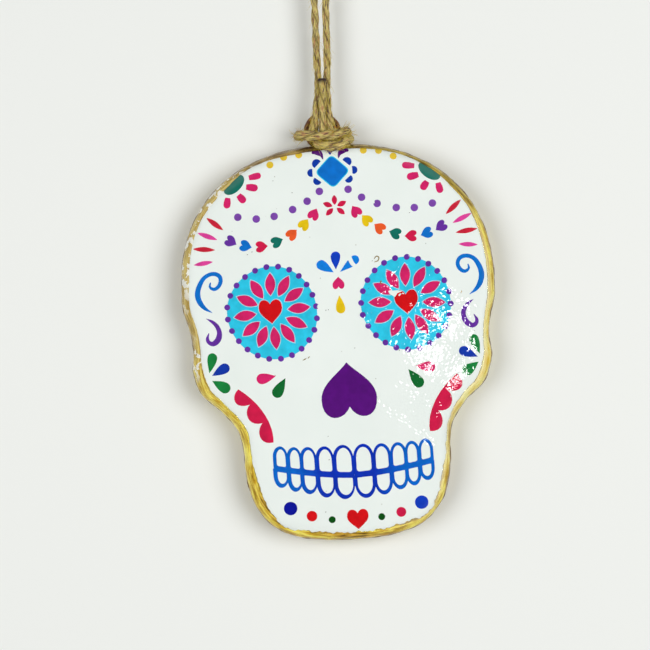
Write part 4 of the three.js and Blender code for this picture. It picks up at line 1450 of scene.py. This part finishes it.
def laid_twine(name, line, normals, binormals, start, end):
    """Two plies laid together: a waisted section that turns once in each lay, ridged by its fibres."""
    around = 2 * math.pi * np.arange(TWINE_SIDES) / TWINE_SIDES
    depth = PLY_RADIUS + PLY_OFFSET - math.sqrt(PLY_RADIUS**2 - PLY_OFFSET**2)
    points, grooves, lays = [], [], []
    for i in range(start, end + 1):
        along = i * TWINE_STEP
        turned = around + 2 * math.pi * along / LAY_LENGTH
        bulge = np.sqrt(PLY_RADIUS**2 - (PLY_OFFSET * np.sin(turned)) ** 2)
        lobe = PLY_OFFSET * np.abs(np.cos(turned)) + bulge
        lumps = 1 + 0.05 * math.sin(0.9 * along + 1) + 0.03 * math.sin(2.3 * along)
        ridges = 0.035 * np.sin(9 * around + 1.7 * math.sin(0.5 * along) + 0.9 * along)
        ridges += 0.025 * np.sin(16 * around - 0.6 * along + 2 * math.sin(0.31 * along))
        radius = (lobe * lumps + ridges) * fullness(line[i])
        outward = np.outer(np.cos(around), normals[i]) + np.outer(np.sin(around), binormals[i])
        points.append(line[i] + radius[:, None] * outward)
        # How deep each point lies in the groove between the plies, where the material paints shade
        grooves.append(np.clip((PLY_RADIUS + PLY_OFFSET - lobe) / depth, 0, 1) ** 2)
        lays.append(np.column_stack([np.full(TWINE_SIDES, along), np.cos(around), np.sin(around)]))
    faces = capped_tube(len(points), TWINE_SIDES)
    points = np.vstack([*points, [line[start]], [line[end]]])
    twine = make_piece(name, points, faces, TWINE)
    mesh = twine.data
    groove = mesh.attributes.new("groove", "FLOAT", "POINT")
    groove.data.foreach_set("value", np.concatenate([*grooves, [1, 1]]).astype(np.float32))
    lay = mesh.attributes.new("lay", "FLOAT_VECTOR", "POINT")
    ends = [(start * TWINE_STEP, 0, 0), (end * TWINE_STEP, 0, 0)]
    lay.data.foreach_set("vector", np.vstack([*lays, ends]).astype(np.float32).ravel())
    return twine


def curling_thread(at, heading, curl, length, root):
    """Points of a thin three-sided thread that tapers and curls."""
    points = []
    for step in range(FIBRE_STEPS + 1):
        thick = root * (1 - 0.8 * step / FIBRE_STEPS)
        side = np.cross(heading, (0.3, 0.9, 0.2))
        side /= np.linalg.norm(side)
        other = np.cross(heading, side)
        for corner in range(3):
            turn = 2 * math.pi * corner / 3
            points.append(at + thick * (side * math.cos(turn) + other * math.sin(turn)))
        at = at + heading * length / FIBRE_STEPS
        heading = heading + curl
        heading /= np.linalg.norm(heading)
    return points


def loose_fibres(name, line, normals, binormals, start, end, count, longest, seed):
    """Fine hairs that stand off the twine, thicker and wilder on the hitch."""
    chance = random.Random(seed)
    points, faces = [], []
    for _ in range(count):
        i = chance.randint(start + 2, end - 2)
        slack = (fullness(line[i]) - 1) / HITCH_FULLNESS
        angle = chance.uniform(0, 2 * math.pi)
        outward = normals[i] * math.cos(angle) + binormals[i] * math.sin(angle)
        along = line[i + 1] - line[i - 1]
        along /= np.linalg.norm(along) * chance.choice((-1, 1))
        heading = along + outward * chance.uniform(0.05, 0.35 + 0.5 * slack)
        heading /= np.linalg.norm(heading)
        curl = np.array([chance.uniform(-1, 1) for _ in range(3)])
        curl = curl * chance.uniform(0.02, 0.12 + 0.12 * slack)
        at = line[i] + outward * FIBRE_ROOT * fullness(line[i])
        length = chance.uniform(0.25, 1) * longest
        root = chance.uniform(0.035, 0.065) * (1 + 0.6 * slack)
        first = len(points)
        points += curling_thread(at, heading, curl, length, root)
        for step in range(FIBRE_STEPS):
            faces += ring_faces(first + 3 * step, first + 3 * step + 3, 3)
        faces.append((first + 2, first + 1, first))
        last = first + 3 * FIBRE_STEPS
        faces.append((last, last + 1, last + 2))
    return make_piece(name, np.array(points), faces, FIBRE, smooth=False)


def tie_twine():
    line, left_cut, right_cut = whole_twine()
    normals, binormals = carried_frames(line)
    last = len(line) - 1
    parts = [
        ("twine_left", 0, left_cut, ("twine_leg_left", "twine_end_left"), 620, 4.2),
        ("twine_over", left_cut, right_cut, ("twine_loop",), 150, 3.5),
        ("twine_right", right_cut, last, ("twine_leg_right", "twine_end_right"), 480, 4.2),
    ]
    for seed, (name, start, end, nodes, count, longest) in enumerate(parts):
        twine = laid_twine(name, line, normals, binormals, start, end)
        hairs = loose_fibres(f"{name}_fibres", line, normals, binormals, start, end, count, longest, seed)
        for piece in (twine, hairs):
            if name == "twine_over":
                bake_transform(piece)
            else:
                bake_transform(piece)
        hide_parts(*nodes)
        path = metres(line[start:end + 1])
        if name == "twine_left":
            path = path[::-1]


def dress_cad_pieces():
    """The braze under the ring keeps its CAD shape."""
    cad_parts["ring_braze"].data.materials.clear()
    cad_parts["ring_braze"].data.materials.append(BRAZE)


place_camera()
tie_twine()
hang_wall()
light_scene()
pressed_half("front_half", "front_shell", -1)
pressed_half("back_half", "back_shell", 1)
brazed_edge()
white_face()
gilt_border()
eyes()
teeth()
cheeks_nose_and_chin()
bridge_of_the_nose()
brow()
forehead_garland()
rim_flowers()
temple_rays()
temple_scrolls()
wear()
wire_ring()
dress_cad_pieces()
